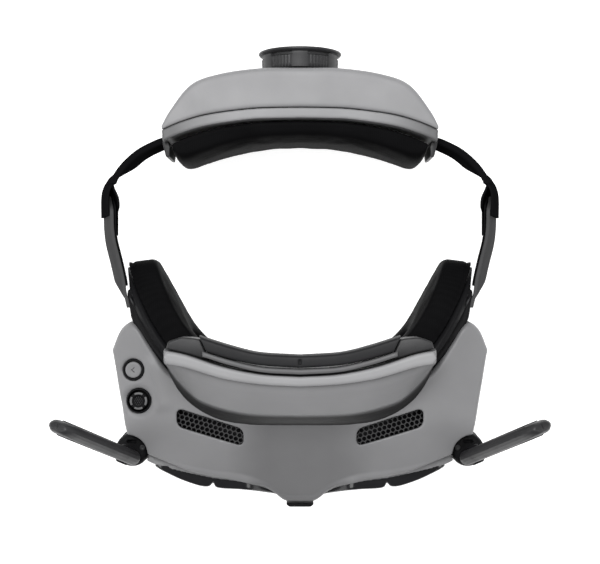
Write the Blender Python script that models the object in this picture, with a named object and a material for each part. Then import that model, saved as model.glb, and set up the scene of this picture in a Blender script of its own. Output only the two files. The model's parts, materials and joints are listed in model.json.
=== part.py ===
"""Head-worn video goggles with two folding antennas, a brow pad and a battery headband.

The wearer looks along -Y, so the wearer's right side is -X. Lengths below are in millimetres and
become metres where a mesh is made. The goggles stand on the plane z = 0.
"""

import math

import bmesh
import bpy
from mathutils import Matrix, Vector

MM = 0.001
GAP = 0.4                      # clearance between neighbouring pieces
WALL = 2.0                     # moulded shell thickness
SIDES = {"right": -1, "left": 1}

# Face surface: the curve that the foam follows, seen from above
FACE_DEPTH = -36.0             # y at the middle of the forehead
FACE_RISE = 43.0               # how far it comes back by FACE_HALF
FACE_HALF = 62.0
FOAM_EDGE = 64.2               # half width of the foam along x
FOAM_THICK = 12.0
FOAM_GAP = 1.2                 # foam to frame, where the curved backs are faceted
MASK_Z = 33.0                  # middle height of the mask opening

# Front body
EDGE_Z = 38.0                  # lower edge of the grey shell over the fascia
NOSE_Z = 18.0                  # the same edge at the nose
SEAM = 2.0                     # seam between the grey shell and the lower shell
SIDE_Z = 24.0                  # the same edge round the lobes
TOP_Z = 50.5                   # height of the grey shell behind the vents
EYE_X = 32.0                   # half the distance between the eyepieces
EYE_Z = 26.0
BARREL_R = 15.5

# Antennas: where the blade stands unfolded and where it lies folded, for the right side
HINGE = (-78.5, -77.5, 44.0)
BLADE_UP = Vector((-0.314, 0.307, 0.896)).normalized()
BLADE_FACE = Vector((-0.375, -0.910, 0.180)).normalized()
FOLD_UP = Vector((0.92, -0.359, 0.10)).normalized()
FOLD_FACE = BLADE_FACE
BLADE_LENGTH = 62.0
BLADE_WIDTH = 13.0
BLADE_THICK = 6.5
BASE_XY = (76.6, -76.6)
BASE_R = 7.6

# Rear unit
CASE_BOTTOM = 0.0
CASE_TOP = 58.0
DIAL_Z = 35.0
DIAL_R = 17.5
FLANGE_R = 18.8
DIAL_FRONT = 98.7
DIAL_BACK = 104.4
PINION_R = 5.0


# ---------------------------------------------------------------- helpers

def clear_scene():
    for item in list(bpy.data.objects):
        bpy.data.objects.remove(item, do_unlink=True)


def material(name, colour, roughness, metallic=0.0):
    skin = bpy.data.materials.new(name)
    skin.use_nodes = True
    shader = skin.node_tree.nodes["Principled BSDF"]
    shader.inputs["Base Color"].default_value = (*colour, 1.0)
    shader.inputs["Roughness"].default_value = roughness
    shader.inputs["Metallic"].default_value = metallic
    return skin


LOOKS = {
    "grey": ((0.27, 0.27, 0.28), 0.45, 0.0),
    "light": ((0.42, 0.42, 0.43), 0.40, 0.0),
    "dark": ((0.035, 0.035, 0.037), 0.50, 0.0),
    "black": ((0.012, 0.012, 0.013), 0.55, 0.0),
    "gloss": ((0.008, 0.008, 0.009), 0.12, 0.0),
    "foam": ((0.014, 0.014, 0.015), 0.95, 0.0),
    "steel": ((0.55, 0.55, 0.57), 0.30, 1.0),
    "board": ((0.02, 0.09, 0.05), 0.60, 0.0),
    "glass": ((0.75, 0.80, 0.85), 0.05, 0.0),
    "cell": ((0.08, 0.16, 0.35), 0.45, 0.0),
}


def add(name, mesh, look, origin=(0, 0, 0)):
    """Make the object of one sub-part; the mesh's points are metres about the origin."""
    item = bpy.data.objects.new(name, mesh)
    item.location = Vector(origin) * MM
    mesh.materials.append(material(name, *LOOKS[look]))
    bpy.context.collection.objects.link(item)
    return item


def mesh_from(name, points, faces, smooth=True):
    mesh = bpy.data.meshes.new(name)
    mesh.from_pydata([tuple(c * MM for c in p) for p in points], [], faces)
    tidy = bmesh.new()
    tidy.from_mesh(mesh)
    bmesh.ops.remove_doubles(tidy, verts=tidy.verts, dist=0.000002)
    bmesh.ops.recalc_face_normals(tidy, faces=tidy.faces)
    tidy.to_mesh(mesh)
    tidy.free()
    if smooth:
        mesh.shade_smooth()
        mesh.set_sharp_from_angle(angle=math.radians(35))
    return mesh


def curve(points, per_span=4):
    """Catmull-Rom samples through the points, ends included."""
    pts = [Vector(p) for p in points]
    pts = [2 * pts[0] - pts[1]] + pts + [2 * pts[-1] - pts[-2]]
    out = []
    for i in range(1, len(pts) - 2):
        a, b, c, d = pts[i - 1:i + 3]
        for k in range(per_span):
            t = k / per_span
            out.append(0.5 * (2 * b + (c - a) * t + (2 * a - 5 * b + 4 * c - d) * t ** 2
                              + (3 * b - a - 3 * c + d) * t ** 3))
    out.append(pts[-2])
    return out


def mirror_path(half):
    """A path given from x = 0 outwards, completed from -X to +X."""
    return [Vector((-p[0], *p[1:])) for p in reversed(half[1:])] + [Vector(p) for p in half]


def loft(name, rings, look, origin=(0, 0, 0), loop=False):
    """Skin a run of closed rings; the two ends are capped unless the run closes on itself."""
    n = len(rings[0])
    points = [Vector(p) - Vector(origin) for ring in rings for p in ring]
    faces = []
    spans = len(rings) if loop else len(rings) - 1
    for r in range(spans):
        here, there = r * n, ((r + 1) % len(rings)) * n
        for i in range(n):
            j = (i + 1) % n
            faces.append((here + i, here + j, there + j, there + i))
    if not loop:
        faces.append(tuple(range(n))[::-1])
        faces.append(tuple(range((len(rings) - 1) * n, len(rings) * n)))
    return add(name, mesh_from(name, points, faces), look, origin)


def prism(name, outline, low, high, look, axis="Z", origin=(0, 0, 0)):
    """Extrude a flat outline along an axis."""
    place = {"Z": lambda a, b, h: (a, b, h), "Y": lambda a, b, h: (a, h, b), "X": lambda a, b, h: (h, a, b)}[axis]
    return loft(name, [[place(*p[:2], low) for p in outline], [place(*p[:2], high) for p in outline]], look, origin)


def rounded(width, height, radius, steps=4):
    """Outline of a rectangle with round corners, centred."""
    out = []
    for k, (sx, sy) in enumerate(((1, 1), (-1, 1), (-1, -1), (1, -1))):
        for i in range(steps + 1):
            a = math.radians(90 * k + 90 * i / steps)
            out.append((sx * (width / 2 - radius) + radius * math.cos(a),
                        sy * (height / 2 - radius) + radius * math.sin(a)))
    return out


def block(name, centre, size):
    """A box-shaped cutter."""
    return box(name, centre, size, "black")


def circle(radius, count=32, centre=(0, 0), squash=1.0):
    return [(centre[0] + radius * math.cos(2 * math.pi * i / count),
             centre[1] + radius * squash * math.sin(2 * math.pi * i / count)) for i in range(count)]


def box(name, centre, size, look, bevel=0.0, origin=None):
    low = [c - s / 2 for c, s in zip(centre, size)]
    high = [c + s / 2 for c, s in zip(centre, size)]
    outline = [(low[0], low[1]), (high[0], low[1]), (high[0], high[1]), (low[0], high[1])]
    item = prism(name, outline, low[2], high[2], look, "Z", origin or centre)
    if bevel:
        round_edges(item, bevel)
    return item


def turned(name, profile, centre, look, axis=(0, 0, 1), count=32):
    """Turn a profile of (radius, height) points, listed along the axis, about that axis at centre."""
    rings = [[(r * math.cos(2 * math.pi * i / count), r * math.sin(2 * math.pi * i / count), h)
              for i in range(count)] for r, h in profile]
    item = loft(name, rings, look)
    item.matrix_world = Matrix.Translation(Vector(centre) * MM) @ frame_of(axis)
    return item


def tube(name, outer, inner, low, high, centre, look, axis=(0, 0, 1), count=32):
    """A round tube about an axis."""
    profile = [(outer, low), (outer, high), (inner, high), (inner, low)]
    rings = [[(r * math.cos(a), r * math.sin(a), h) for r, h in profile]
             for a in (2 * math.pi * i / count for i in range(count))]
    item = loft(name, rings, look, loop=True)
    item.matrix_world = Matrix.Translation(Vector(centre) * MM) @ frame_of(axis)
    return item


def frame_of(axis):
    return Vector((0, 0, 1)).rotation_difference(Vector(axis)).to_matrix().to_4x4()


def round_edges(item, width, segments=2, angle=30):
    bevel = item.modifiers.new("round", "BEVEL")
    bevel.width = width * MM
    bevel.segments = segments
    bevel.limit_method = "ANGLE"
    bevel.angle_limit = math.radians(angle)
    return item


def cut(item, *cutters):
    for k, cutter in enumerate(cutters):
        cutter.hide_render = True
        cutter.display_type = "WIRE"
        trim = item.modifiers.new(f"cut_{k}", "BOOLEAN")
        trim.operation = "DIFFERENCE"
        trim.object = cutter
    return item


def capped_shell(name, front, rear, middle, height, floor, power, look, wall=WALL, rings=6):
    """A moulded cap: a wall round the plan outline front + rear, rolling over to a top.

    front, rear and middle run from -X to +X with equal counts and share their ends' place in the
    ring; height(x, y) is the top, floor(x, y) the wall's lower edge, power how square the shoulder is.
    """
    n = len(front)
    order = [(front[i], middle[i], i) for i in range(n)]
    order += [(rear[i], middle[i], i) for i in range(n - 2, 0, -1)]
    points, faces = [], []
    for k in range(rings):
        turn = math.pi / 2 * (k / rings) ** 0.8
        spread, rise = math.cos(turn) ** (2 / power), math.sin(turn) ** (2 / power)
        for edge, core, _ in order:
            x = core[0] + (edge[0] - core[0]) * spread
            y = core[1] + (edge[1] - core[1]) * spread
            low = floor(edge[0], edge[1])
            points.append((x, y, max(0.0, low + (height(x, y) - low) * rise)))
    m = len(order)
    crown = len(points)
    points += [(c[0], c[1], max(0.0, height(c[0], c[1]))) for c in middle]
    for k in range(rings - 1):
        for i in range(m):
            j = (i + 1) % m
            faces.append((k * m + i, k * m + j, (k + 1) * m + j, (k + 1) * m + i))
    last = (rings - 1) * m
    for i in range(m):
        j = (i + 1) % m
        top_i, top_j = crown + order[i][2], crown + order[j][2]
        faces.append((last + i, last + j, top_j, top_i))
    item = add(name, mesh_from(name, points, faces), look)
    skin = item.modifiers.new("wall", "SOLIDIFY")
    skin.thickness = wall * MM
    skin.offset = -1.0
    return item


def blend(low, high, value):
    t = min(max((value - low) / (high - low), 0.0), 1.0)
    return t * t * (3 - 2 * t)


# ---------------------------------------------------------------- outlines of the front body

FRONT_EDGE = [(0, -103.3), (7, -102.6), (14, -97.8), (24, -91.6), (40, -89), (54, -86), (68.6, -82),
              (75.5, -76), (78.6, -66), (81, -53), (83, -42), (85, -30)]
REAR_EDGE = [(0, -53), (12, -52.7), (24, -51.3), (36, -48.8), (46, -45.8), (54, -42), (60, -37.5),
             (64, -32), (68, -26), (74.5, -17.5), (80.5, -20.5), (85, -30)]
CORE_LINE = [(0, -75), (9, -74.5), (18, -72), (28, -69), (38, -66), (48, -62), (57, -58),
             (63, -54), (66.5, -48), (70, -42), (73, -36), (76, -31)]


def body_outline():
    """Front, rear and core paths of the front body, from -X to +X."""
    return mirror_path(FRONT_EDGE), mirror_path(REAR_EDGE), mirror_path(CORE_LINE)


def shell_height(x, y):
    """Top of the grey shell: a ridge falling to the nose, flatter over the lobes."""
    ridge = 52.0 + min(0.0, y + 64.0) * 0.773
    lobe = TOP_Z - 0.0135 * min(0.0, y + 60.0) ** 2 - 5.0 * max(0.0, (abs(x) - 55.0) / 30.0) ** 2
    return ridge + (lobe - ridge) * blend(4, 40, abs(x))


def shell_floor(x, y):
    """Lower edge of the grey shell: high over the fascia, low at the nose and the lobes' sides."""
    middle = EDGE_Z
    if y < -60.0:
        middle = NOSE_Z + (EDGE_Z - NOSE_Z) * blend(6, 34, abs(x))
    return middle + (SIDE_Z - middle) * blend(62, 80, abs(x))


# ---------------------------------------------------------------- front body

def eye_window(name, side, low, high, radius=16.0, travel=4.5):
    """A cutter with round ends, long enough for the eyepiece's travel."""
    outline = [(side * EYE_X + sx * travel + radius * math.cos(a), EYE_Z + radius * math.sin(a))
               for sx, start in ((1, -90), (-1, 90))
               for a in (math.radians(start + 180 * i / 12) for i in range(13))]
    return prism(name, outline, low, high, "black", "Y")


def vent_outline(side, grow=0.0):
    """The vent's slanted slot with round corners, in plan."""
    out = []
    slant = math.radians(-17.5)
    for x, y in rounded(31.0 + 2 * grow, 7.8 + 2 * grow, 2.6 + grow, 4):
        lean = x + y * math.tan(slant)
        out.append((side * (40.0 - (lean * math.cos(slant) - y * math.sin(slant))),
                    -64.7 + (lean * math.sin(slant) + y * math.cos(slant))))
    return out if side > 0 else out[::-1]


def front_body():
    front, rear, core = body_outline()
    shell = capped_shell("front_shell", front, rear, core, shell_height, shell_floor, 9.0, "grey")
    brow_hole = prism("cutter_brow", brow_plan(1.7), 44.3, 90.0, "black")
    cutters = [brow_hole]
    for label, side in SIDES.items():
        cutters.append(prism(f"cutter_vent_{label}", vent_outline(side), 30.0, 70.0, "black"))
        cutters.append(eye_window(f"cutter_window_top_{label}", side, -62.0, -30.0))
        cutters.append(prism(f"cutter_base_{label}", circle(BASE_R + 0.6, 28, (side * BASE_XY[0], BASE_XY[1])),
                             -5.0, 90.0, "black"))
        cutters.append(fold_pocket(label, side))
    for name, spot, radius in BUTTON_SPOTS:
        cutters.append(prism(f"cutter_{name}", circle(radius, 28, spot), 30.0, 70.0, "black"))
    cut(shell, *cutters)

    front = [Vector((p[0], p[1] + 6.6 * (1 - blend(60, 74, abs(p[0]))))) for p in front]
    lower = capped_shell("lower_shell", front, rear, core, lambda x, y: -4.0,
                         lambda x, y: shell_floor(x, y) - SEAM, 3.6, "dark")
    holes = []
    holes.append(block("cutter_usb", (82.0, -50.0, 18.5), (14.0, 9.8, 4.0)))
    holes.append(block("cutter_card", (84.0, -38.0, 18.5), (14.0, 12.8, 3.0)))
    for label, side in SIDES.items():
        holes.append(eye_window(f"cutter_window_low_{label}", side, -62.0, -30.0))
        holes.append(prism(f"cutter_base_low_{label}", circle(BASE_R + 0.6, 28, (side * BASE_XY[0], BASE_XY[1])),
                           10.0, 90.0, "black"))
        holes.append(prism(f"cutter_camera_{label}", circle(6.4, 24, (side * 46.0, 24.0)), -100.0, -76.0, "black", "Y"))
        slot = [(x + side * EYE_X, y - 66.0) for x, y in rounded(24.0, 15.0, 7.4, 6)]
        holes.append(prism(f"cutter_knob_{label}", slot, -5.0, 5.0, "black"))
    cut(lower, *holes)


def brow_plan(grow):
    """Plan outline of the brow bulge, grown outwards for its opening in the shell."""
    half_front = curve([(0, -59), (20, -58.2), (33, -56.0), (44, -51.5), (52, -44.5), (58, -36)], 3)
    front = mirror_path(half_front)
    out = [(p[0] + grow * 1.2 * p[0] / 58, p[1] - grow) for p in front]
    return out + [(60 + grow, -20), (-60 - grow, -20)]


def brow():
    """The grey bulge over the eyes, made of upright slices from side to side."""
    stations = [(0, -59.0, 0, 1.0), (16.5, -58.5, 0.6, 1.0), (33, -56.0, 3.4, 1.0), (44, -51.5, 6.9, 0.98),
                (51, -45.6, 10.2, 0.93), (55.5, -40.4, 13.0, 0.82), (57.6, -36.8, 14.6, 0.6)]
    half = []
    for x, low_front, back, size in stations:
        top = 61.0 + 11.2 * size
        rear = -40.6 + back * 0.74
        crest = -44.5 + back * 0.92
        low_front = min(low_front, crest - 1.5)
        shoulder = crest + (low_front - crest) * 0.86
        half.append([(x, rear, 60.6), (x, rear, top), (x, crest, top - 0.3),
                     (x, crest + (shoulder - crest) * 0.5, top - 3.0 * size),
                     (x, shoulder, top - 8.5 * size), (x, low_front, 58.0), (x, low_front, 47.0),
                     (x, low_front + 2.0, 47.0), (x, min(low_front + 2.4, crest), 60.6)])
    rings = [[(-p[0], p[1], p[2]) for p in ring] for ring in reversed(half[1:])] + half
    loft("brow_shell", rings, "grey")

    outer = curve([(0, -44.5), (16.5, -43.6), (32.8, -41.1), (48.9, -35.9), (57.0, -32.4)], 3)
    inner = curve([(0, -40.4), (16.5, -39.4), (32.8, -36.2), (48.9, -31.3), (57.0, -29.6)], 3)
    rings = []
    for a, b in zip(mirror_path(outer), mirror_path(inner)):
        squeeze = 0.5 * (1 - min(1.0, (58.2 - abs(a[0])) / 3.0))
        p, q = a.lerp(b, squeeze * 0.6), b.lerp(a, squeeze * 0.6)
        rings.append([(p[0], p[1], 72.8), (p[0], p[1], 74.2), (*p.lerp(q, 0.25)[:2], 75.0),
                      (*p.lerp(q, 0.75)[:2], 75.0), (q[0], q[1], 74.2), (q[0], q[1], 72.8)])
    loft("brow_rim", rings, "light")

    rings = []
    for p in mirror_path(curve([(0, -38.0), (16.5, -37.0), (30.0, -34.0), (40.0, -30.6)], 3)):
        rings.append([(p[0], p[1] - 1.2, 61.0), (p[0], p[1] - 1.2, 74.0), (p[0], p[1] + 0.5, 74.0),
                      (p[0], p[1] + 0.5, 61.0)])
    loft("pad_carrier", rings, "grey")

    rings = []
    for p in mirror_path(curve([(0, -34.2), (16.5, -33.2), (30.0, -30.0), (39.0, -26.9)], 3)):
        ring = [(p[0], p[1] + 2.8 * sx * 0.98, 67.6 + dz) for sx, dz in
                ((-1, -5.6), (-1, 5.2), (-0.7, 6.2), (0.7, 6.2), (1, 5.2), (1, -5.6), (0.7, -6.4), (-0.7, -6.4))]
        rings.append(ring)
    loft("brow_pad", rings, "foam")


def face_point(x, depth=0.0):
    """A point of the face curve at x, moved out of the face by depth, and never across the middle."""
    side = -1.0 if x < 0 else 1.0
    u = abs(x)
    slope = 4 * FACE_RISE / FACE_HALF * (u / FACE_HALF) ** 3
    length = math.hypot(slope, 1.0)
    y = FACE_DEPTH + FACE_RISE * (u / FACE_HALF) ** 4
    return side * (u + depth * slope / length), y - depth / length


def mask_loop(half_width, half_height, notch, count=44):
    """The mask's outline on the face curve: x along the curve and z, with a nose notch below."""
    out = []
    for i in range(count):
        a = 2 * math.pi * (i + 0.5) / count
        c, s = math.cos(a), math.sin(a)
        x = half_width * math.copysign(abs(c) ** 0.62, c)
        z = MASK_Z + half_height * math.copysign(abs(s) ** 0.75, s)
        if s < 0:
            z += notch * math.exp(-(x / 12.0) ** 2)
        out.append((x, z))
    return out


LUG = [(-15.4, 76.1, 70.4), (-10.0, 76.9, 72.9), (-5.5, 77.3, 75.8)]    # y, outer top x, inner x
FRAME_FRONT = [(0, -52.4), (9.5, -52.2), (19, -51.4), (31, -49.2), (45, -45.0), (55, -36.6), (64.5, -26.5),
               (76.9, -6.0)]


def mask():
    outer = mask_loop(FOAM_EDGE, 26.5, 13.0)
    inner = mask_loop(47.0, 16.0, 8.0)
    rings = []
    for (xo, zo), (xi, zi) in zip(outer, inner):
        def at(x, z, depth):
            px, py = face_point(x, depth)
            return (px, py, z)
        thick = FOAM_THICK + 2.5 * (abs(xo) / FOAM_EDGE) ** 3
        xa, za, xb, zb = xi + (xo - xi) * 0.22, zi + (zo - zi) * 0.22, xi + (xo - xi) * 0.78, zi + (zo - zi) * 0.78
        rings.append([at(xi, zi, thick), at(xi, zi, 2.5), at(xa, za, 0.2), at(xb, zb, 0.2), at(xo, zo, 2.5),
                      at(xo, zo, thick)])
    loft("face_foam", rings, "foam", loop=True)

    front = curve(FRAME_FRONT, 6)
    outer = mask_loop(FOAM_EDGE, 26.5, 13.0)
    inner = mask_loop(47.0, 16.0, 8.0)
    rings = []

    def back_of(x):
        u = abs(x) / FOAM_EDGE * (len(front) - 1)
        k = min(int(u), len(front) - 2)
        p = front[k].lerp(front[k + 1], u - k)
        return math.copysign(p[0], x), p[1]

    for (xo, zo), (xi, zi) in zip(outer, inner):
        near_o = face_point(xo, FOAM_THICK + 2.5 * (abs(xo) / FOAM_EDGE) ** 3 + FOAM_GAP)
        near_i = face_point(xi, FOAM_THICK + 2.5 * (abs(xo) / FOAM_EDGE) ** 3 + FOAM_GAP)
        far_o, far_i = back_of(xo), back_of(xi)
        rings.append([(*near_o, zo), (*near_i, zi), (*far_i, zi), (*far_o, zo)])
    frame = loft("face_frame", rings, "black", loop=True)
    for k, (label, side) in enumerate(SIDES.items()):
        lug = loft(f"cutter_lug_{label}", lug_rings(side), "black")
        lug.hide_render = True
        lug.display_type = "WIRE"
        join = frame.modifiers.new(f"lug_{k}", "BOOLEAN")
        join.operation = "UNION"
        join.object = lug


def lug_rings(side):
    """The lug that carries the arm's front end: its outer face leans with the arm, a gap away."""
    rings = []
    for y, outer, inner in LUG:
        ring = [(side * (outer + 5.0), y, 27.0), (side * inner, y, 27.0), (side * inner, y, 45.0),
                (side * outer, y, 45.0)]
        rings.append(ring if side > 0 else ring[::-1])
    return rings


def fascia():
    """The black front with its two camera openings, and the trim over the nose."""
    half = [(0, -101.9), (7, -101.2), (14, -98.4), (24, -95.0), (40, -93.6), (54, -89.8), (60, -87.0)]
    outer = mirror_path(half)
    rings = []
    for p in outer:
        top = shell_floor(p[0], -90) - (1.0 if abs(p[0]) < 56 else 4.0)
        back = p[1] + 2.4
        rings.append([(p[0], p[1] + 1.6, 7.0), (p[0], p[1], 10.0), (p[0], p[1], top - 3.0), (p[0], p[1] + 1.0, top),
                      (p[0], back, top), (p[0], back, 7.0)])
    plate = loft("front_fascia", rings, "gloss")
    holes = []
    for label, side in SIDES.items():
        holes.append(prism(f"cutter_lens_{label}", circle(7.4, 28, (side * 46.0, 24.0)), -110.0, -80.0, "black", "Y"))
    cut(plate, *holes)
    trim = [(-6.4, -103.7), (6.4, -103.7), (5.2, -105.0), (-5.2, -105.0)]
    round_edges(prism("nose_trim", trim, 10.0, 22.0, "black"), 0.4, 1)


def cameras():
    for label, side in SIDES.items():
        turned(f"camera_window_{label}", [(7.0, 0), (7.0, 1.2), (6.4, 1.6)], (side * 46.0, -90.2, 24.0), "gloss",
               (0, -1, 0), 28)
        turned(f"camera_module_{label}", [(4.0, 0), (5.6, 0.6), (5.6, 9.0), (3.4, 9.6)], (side * 46.0, -80.0, 24.0),
               "dark", (0, -1, 0), 24)


def vents():
    """Flat grilles with slanted bars just under the shell's slots, and a blower under each side."""
    for label, side in SIDES.items():
        plate = prism(f"vent_grille_{label}", vent_outline(side, 0.6), 42.2, 43.4, "dark")
        slits = []
        for k in range(-2, 3):
            centre = (side * (40.0 + 5.0 * k), -64.7 + 1.55 * k)
            slits.append(prism(f"cutter_slit_{label}_{k + 2}", [(centre[0] + x, centre[1] + y) for x, y in
                                                               rounded(2.6, 7.0, 1.2, 1)], 40.0, 50.0, "black"))
        cut(plate, *slits)
        fan_axis = (side * 16.5, -77.6, 0.0)
        tube(f"fan_housing_{label}", 6.4, 5.6, 15.4, 27.4, fan_axis, "dark", count=20)
        fan_impeller(label, fan_axis)


def fan_impeller(label, centre):
    """A hub with blades, one closed star outline, turning about the blower's axis."""
    outline = []
    for k in range(7):
        start = 2 * math.pi * k / 7
        for offset, radius in ((0.0, 2.0), (0.14, 5.0), (0.26, 5.0), (0.40, 2.2)):
            outline.append((radius * math.cos(start + offset), radius * math.sin(start + offset)))
    prism(f"fan_impeller_{label}", [(centre[0] + x, centre[1] + y) for x, y in outline], 16.4, 26.4, "black",
          "Z", (centre[0], centre[1], 21.4))


def optics():
    """Eyepieces on a rail: barrel, lens and display, each moved by its knob underneath."""
    for label, side in SIDES.items():
        x = side * EYE_X
        tube(f"lens_barrel_{label}", BARREL_R, BARREL_R - 1.5, 0.0, 13.0, (x, -55.4, EYE_Z), "dark", (0, -1, 0), 36)
        turned(f"eyepiece_lens_{label}", [(12.0, -1.5), (13.4, -0.4), (13.4, 1.4), (9.0, 2.8)],
               (x, -60.2, EYE_Z), "glass", (0, 1, 0), 36)
        box(f"display_{label}", (x, -69.7, EYE_Z), (24.0, 1.6, 20.0), "gloss")
        turned(f"diopter_knob_{label}", [(6.4, 0.8), (6.8, 1.4), (6.8, 5.0), (2.0, 5.0), (2.0, 9.8)],
               (x, -66.0, 0.0), "black", count=24)
    rail = [(-52.0, -70.5), (52.0, -70.5), (52.0, -67.0), (-52.0, -67.0)]
    prism("eyepiece_rail", [(x, y - 1.4) for x, y in rail], 7.4, 9.0, "steel")


def electronics():
    board = [(-29, -79.0), (29, -79.0), (29, -72.2), (-29, -72.2)]
    prism("main_board", board, 12.4, 14.0, "board")
    comb = []
    for k in range(5):
        x = 8 - 4 * k
        comb += [(x, 16.2), (x, 26.0), (x - 1.6, 26.0), (x - 1.6, 18.0)]
    comb = comb[:-1] + [(comb[-1][0], 16.2)]
    prism("heat_sink", comb, -79.0, -72.4, "steel", "Y")
    box("usb_socket", (77.6, -50.0, 18.5), (7.4, 9.0, 3.2), "steel")
    box("card_socket", (79.2, -38.0, 18.5), (8.0, 12.0, 2.2), "steel")


# ---------------------------------------------------------------- controls

BACK_SPOT = (-74.2, -39.1)
STICK_SPOT = (-71.8, -52.9)
BUTTON_SPOTS = (("back_seat", BACK_SPOT, 4.9), ("stick_seat", STICK_SPOT, 5.6))


def controls():
    """The back button and the five-way stick on the right lobe."""
    x, y = BACK_SPOT
    top = shell_height(x, y)
    tube("back_button_ring", 4.5, 4.0, top - 4.0, top + 0.2, (x, y, 0), "black", count=28)
    turned("back_button", [(3.6, -1.5), (3.6, 1.6), (3.0, 2.2)], (x, y, top - 1.6), "grey", count=28)

    x, y = STICK_SPOT
    top = shell_height(x, y)
    tube("stick_ring", 5.2, 4.9, top - 5.0, top + 0.2, (x, y, 0), "black", count=28)
    ring = tube("stick_gimbal", 4.5, 3.4, -1.0, 1.0, (x, y, top - 6.8), "steel", count=24)
    ring.location = Vector((x, y, top - 6.8)) * MM
    turned("stick_stem", [(1.2, -1.2), (1.2, 3.2)], (x, y, top - 6.8), "steel", count=16)
    turned("stick_cap", [(2.2, 3.6), (3.9, 4.2), (3.9, 6.6), (3.2, 7.6), (2.2, 7.2)], (x, y, top - 6.8), "dark", count=28)


# ---------------------------------------------------------------- antennas

def mirrored(vector, side):
    """A right-side vector or point as it is on the given side."""
    return Vector((-vector[0] * side, vector[1], vector[2]))


def blade_frame(up, face, side):
    """Axes of a blade: length, width and face as the columns of a rotation."""
    length = mirrored(up, side)
    normal = mirrored(face, side)
    normal = (normal - length * normal.dot(length)).normalized()
    width = normal.cross(length)
    return Matrix((length, width, normal)).transposed()


def fold_turn(side):
    """The hinge's axis and angle that carry the standing blade to its folded place."""
    turn = blade_frame(FOLD_UP, FOLD_FACE, side) @ blade_frame(BLADE_UP, BLADE_FACE, side).inverted()
    return turn.to_quaternion().to_axis_angle()


def fold_pocket(label, side):
    """Cutter for the space that the folded blade needs at the shell's front corner."""
    grid = blade_frame(FOLD_UP, FOLD_FACE, side)
    hub = mirrored(HINGE, side)
    points = []
    for along in (-2.0, 42.0):
        for width in (-(BLADE_WIDTH / 2 + 1.2), 30.0):
            for depth in (-(BLADE_THICK / 2 + 0.9), 16.0):
                across = width * (1 if grid.col[1][2] > 0 else -1)
                points.append(tuple((hub + grid @ Vector((along, across, depth)))))
    faces = [(0, 1, 3, 2), (4, 6, 7, 5), (0, 4, 5, 1), (2, 3, 7, 6), (0, 2, 6, 4), (1, 5, 7, 3)]
    return add(f"cutter_pocket_{label}", mesh_from("pocket", points, faces, False), "black")


def antennas():
    for label, side in SIDES.items():
        axis, _ = fold_turn(side)
        hub = mirrored(HINGE, side)
        grid = blade_frame(BLADE_UP, BLADE_FACE, side).to_4x4()
        rings = []
        for along, width, thick in ((-6.6, 5.0, 4.6), (-5.4, 9.4, 6.0), (-2.5, 12.6, 6.5), (6.0, 13.4, 6.5), (14.0, 12.6, 6.5),
                                    (34.0, 12.8, 6.0), (56.0, 13.0, 5.6), (60.4, 11.0, 4.8), (62.0, 7.4, 3.4)):
            rings.append([(along, p[0], p[1]) for p in rounded(width, thick, min(2.6, thick * 0.42), 2)])
        blade = loft(f"antenna_{label}", rings, "dark")
        blade.matrix_world = Matrix.Translation(hub * MM) @ grid
        base = turned(f"antenna_base_{label}", [(BASE_R - 1.2, 11.0), (BASE_R, 13.0), (BASE_R, 34.0), (BASE_R - 1.0, 36.0)],
                      (side * BASE_XY[0], BASE_XY[1], 0.0), "black", count=28)
        base.location = Vector((side * BASE_XY[0], BASE_XY[1], 0)) * MM


# ---------------------------------------------------------------- headband

# Outer top edge of the right-hand arm in plan; the arm leans, its lower edge further out
ARM_TOP = [(77.6, -16.5), (78.4, -11.0), (78.8, -5.0), (79.6, 1.0), (81.6, 10.0), (83.6, 18.0), (84.4, 24.0),
           (84.6, 31.0), (84.6, 38.7)]
BAND_TOP = [(81.2, 21.0), (81.2, 30.0), (81.3, 37.0), (83.6, 43.0), (82.8, 47.0), (78.5, 53.2), (71.7, 59.2),
            (64.0, 63.2)]
TAB_TOP = [(85.9, 29.6), (85.9, 39.0), (84.6, 43.0), (82.9, 46.4)]
ARM_LEAN = 6.7
ARM_HIGH = 48.0
ARM_LOW = 24.0
LINER_START = 9.0              # the liner begins behind the foam


def leaning_plate(path, margin, thick, side, lean_at=lambda y: ARM_LEAN):
    """Rings of a thin upright plate along its outer top edge, its lower edge further out."""
    rings = []
    for p in path:
        lean = lean_at(p[1])
        low, high = ARM_LOW + margin, ARM_HIGH - margin
        ring = [(side * (p[0] + lean), p[1], low), (side * (p[0] - thick + lean), p[1], low),
                (side * (p[0] - thick), p[1], high), (side * p[0], p[1], high)]
        rings.append(ring if side > 0 else ring[::-1])
    return rings


def shifted(path, offset):
    return [(p[0] + offset, p[1]) for p in path]


def headband():
    arm_path = curve(ARM_TOP, 3)
    for label, side in SIDES.items():
        loft(f"arm_{label}", leaning_plate(arm_path, 0.0, 1.8, side), "grey")
        liner_path = [p for p in shifted(arm_path, -4.9) if p[1] > LINER_START]
        loft(f"arm_liner_{label}", leaning_plate(liner_path, 1.0, 1.0, side), "black")
        strap(label, side)


def strap(label, side):
    """The black band from the arm to the case; a tab outside the arm and a tongue inside it."""
    def lean_at(y):
        return ARM_LEAN * (1 - blend(42.0, 56.0, y))
    band = loft(f"strap_{label}", leaning_plate(curve(BAND_TOP, 4), 1.6, 1.0, side, lean_at), "black")
    tab = loft(f"cutter_tab_{label}", leaning_plate(curve(TAB_TOP, 3), 1.0, 1.0, side, lean_at), "black")
    tab.hide_render = True
    tab.display_type = "WIRE"
    join = band.modifiers.new("tab", "BOOLEAN")
    join.operation = "UNION"
    join.object = tab


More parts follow.
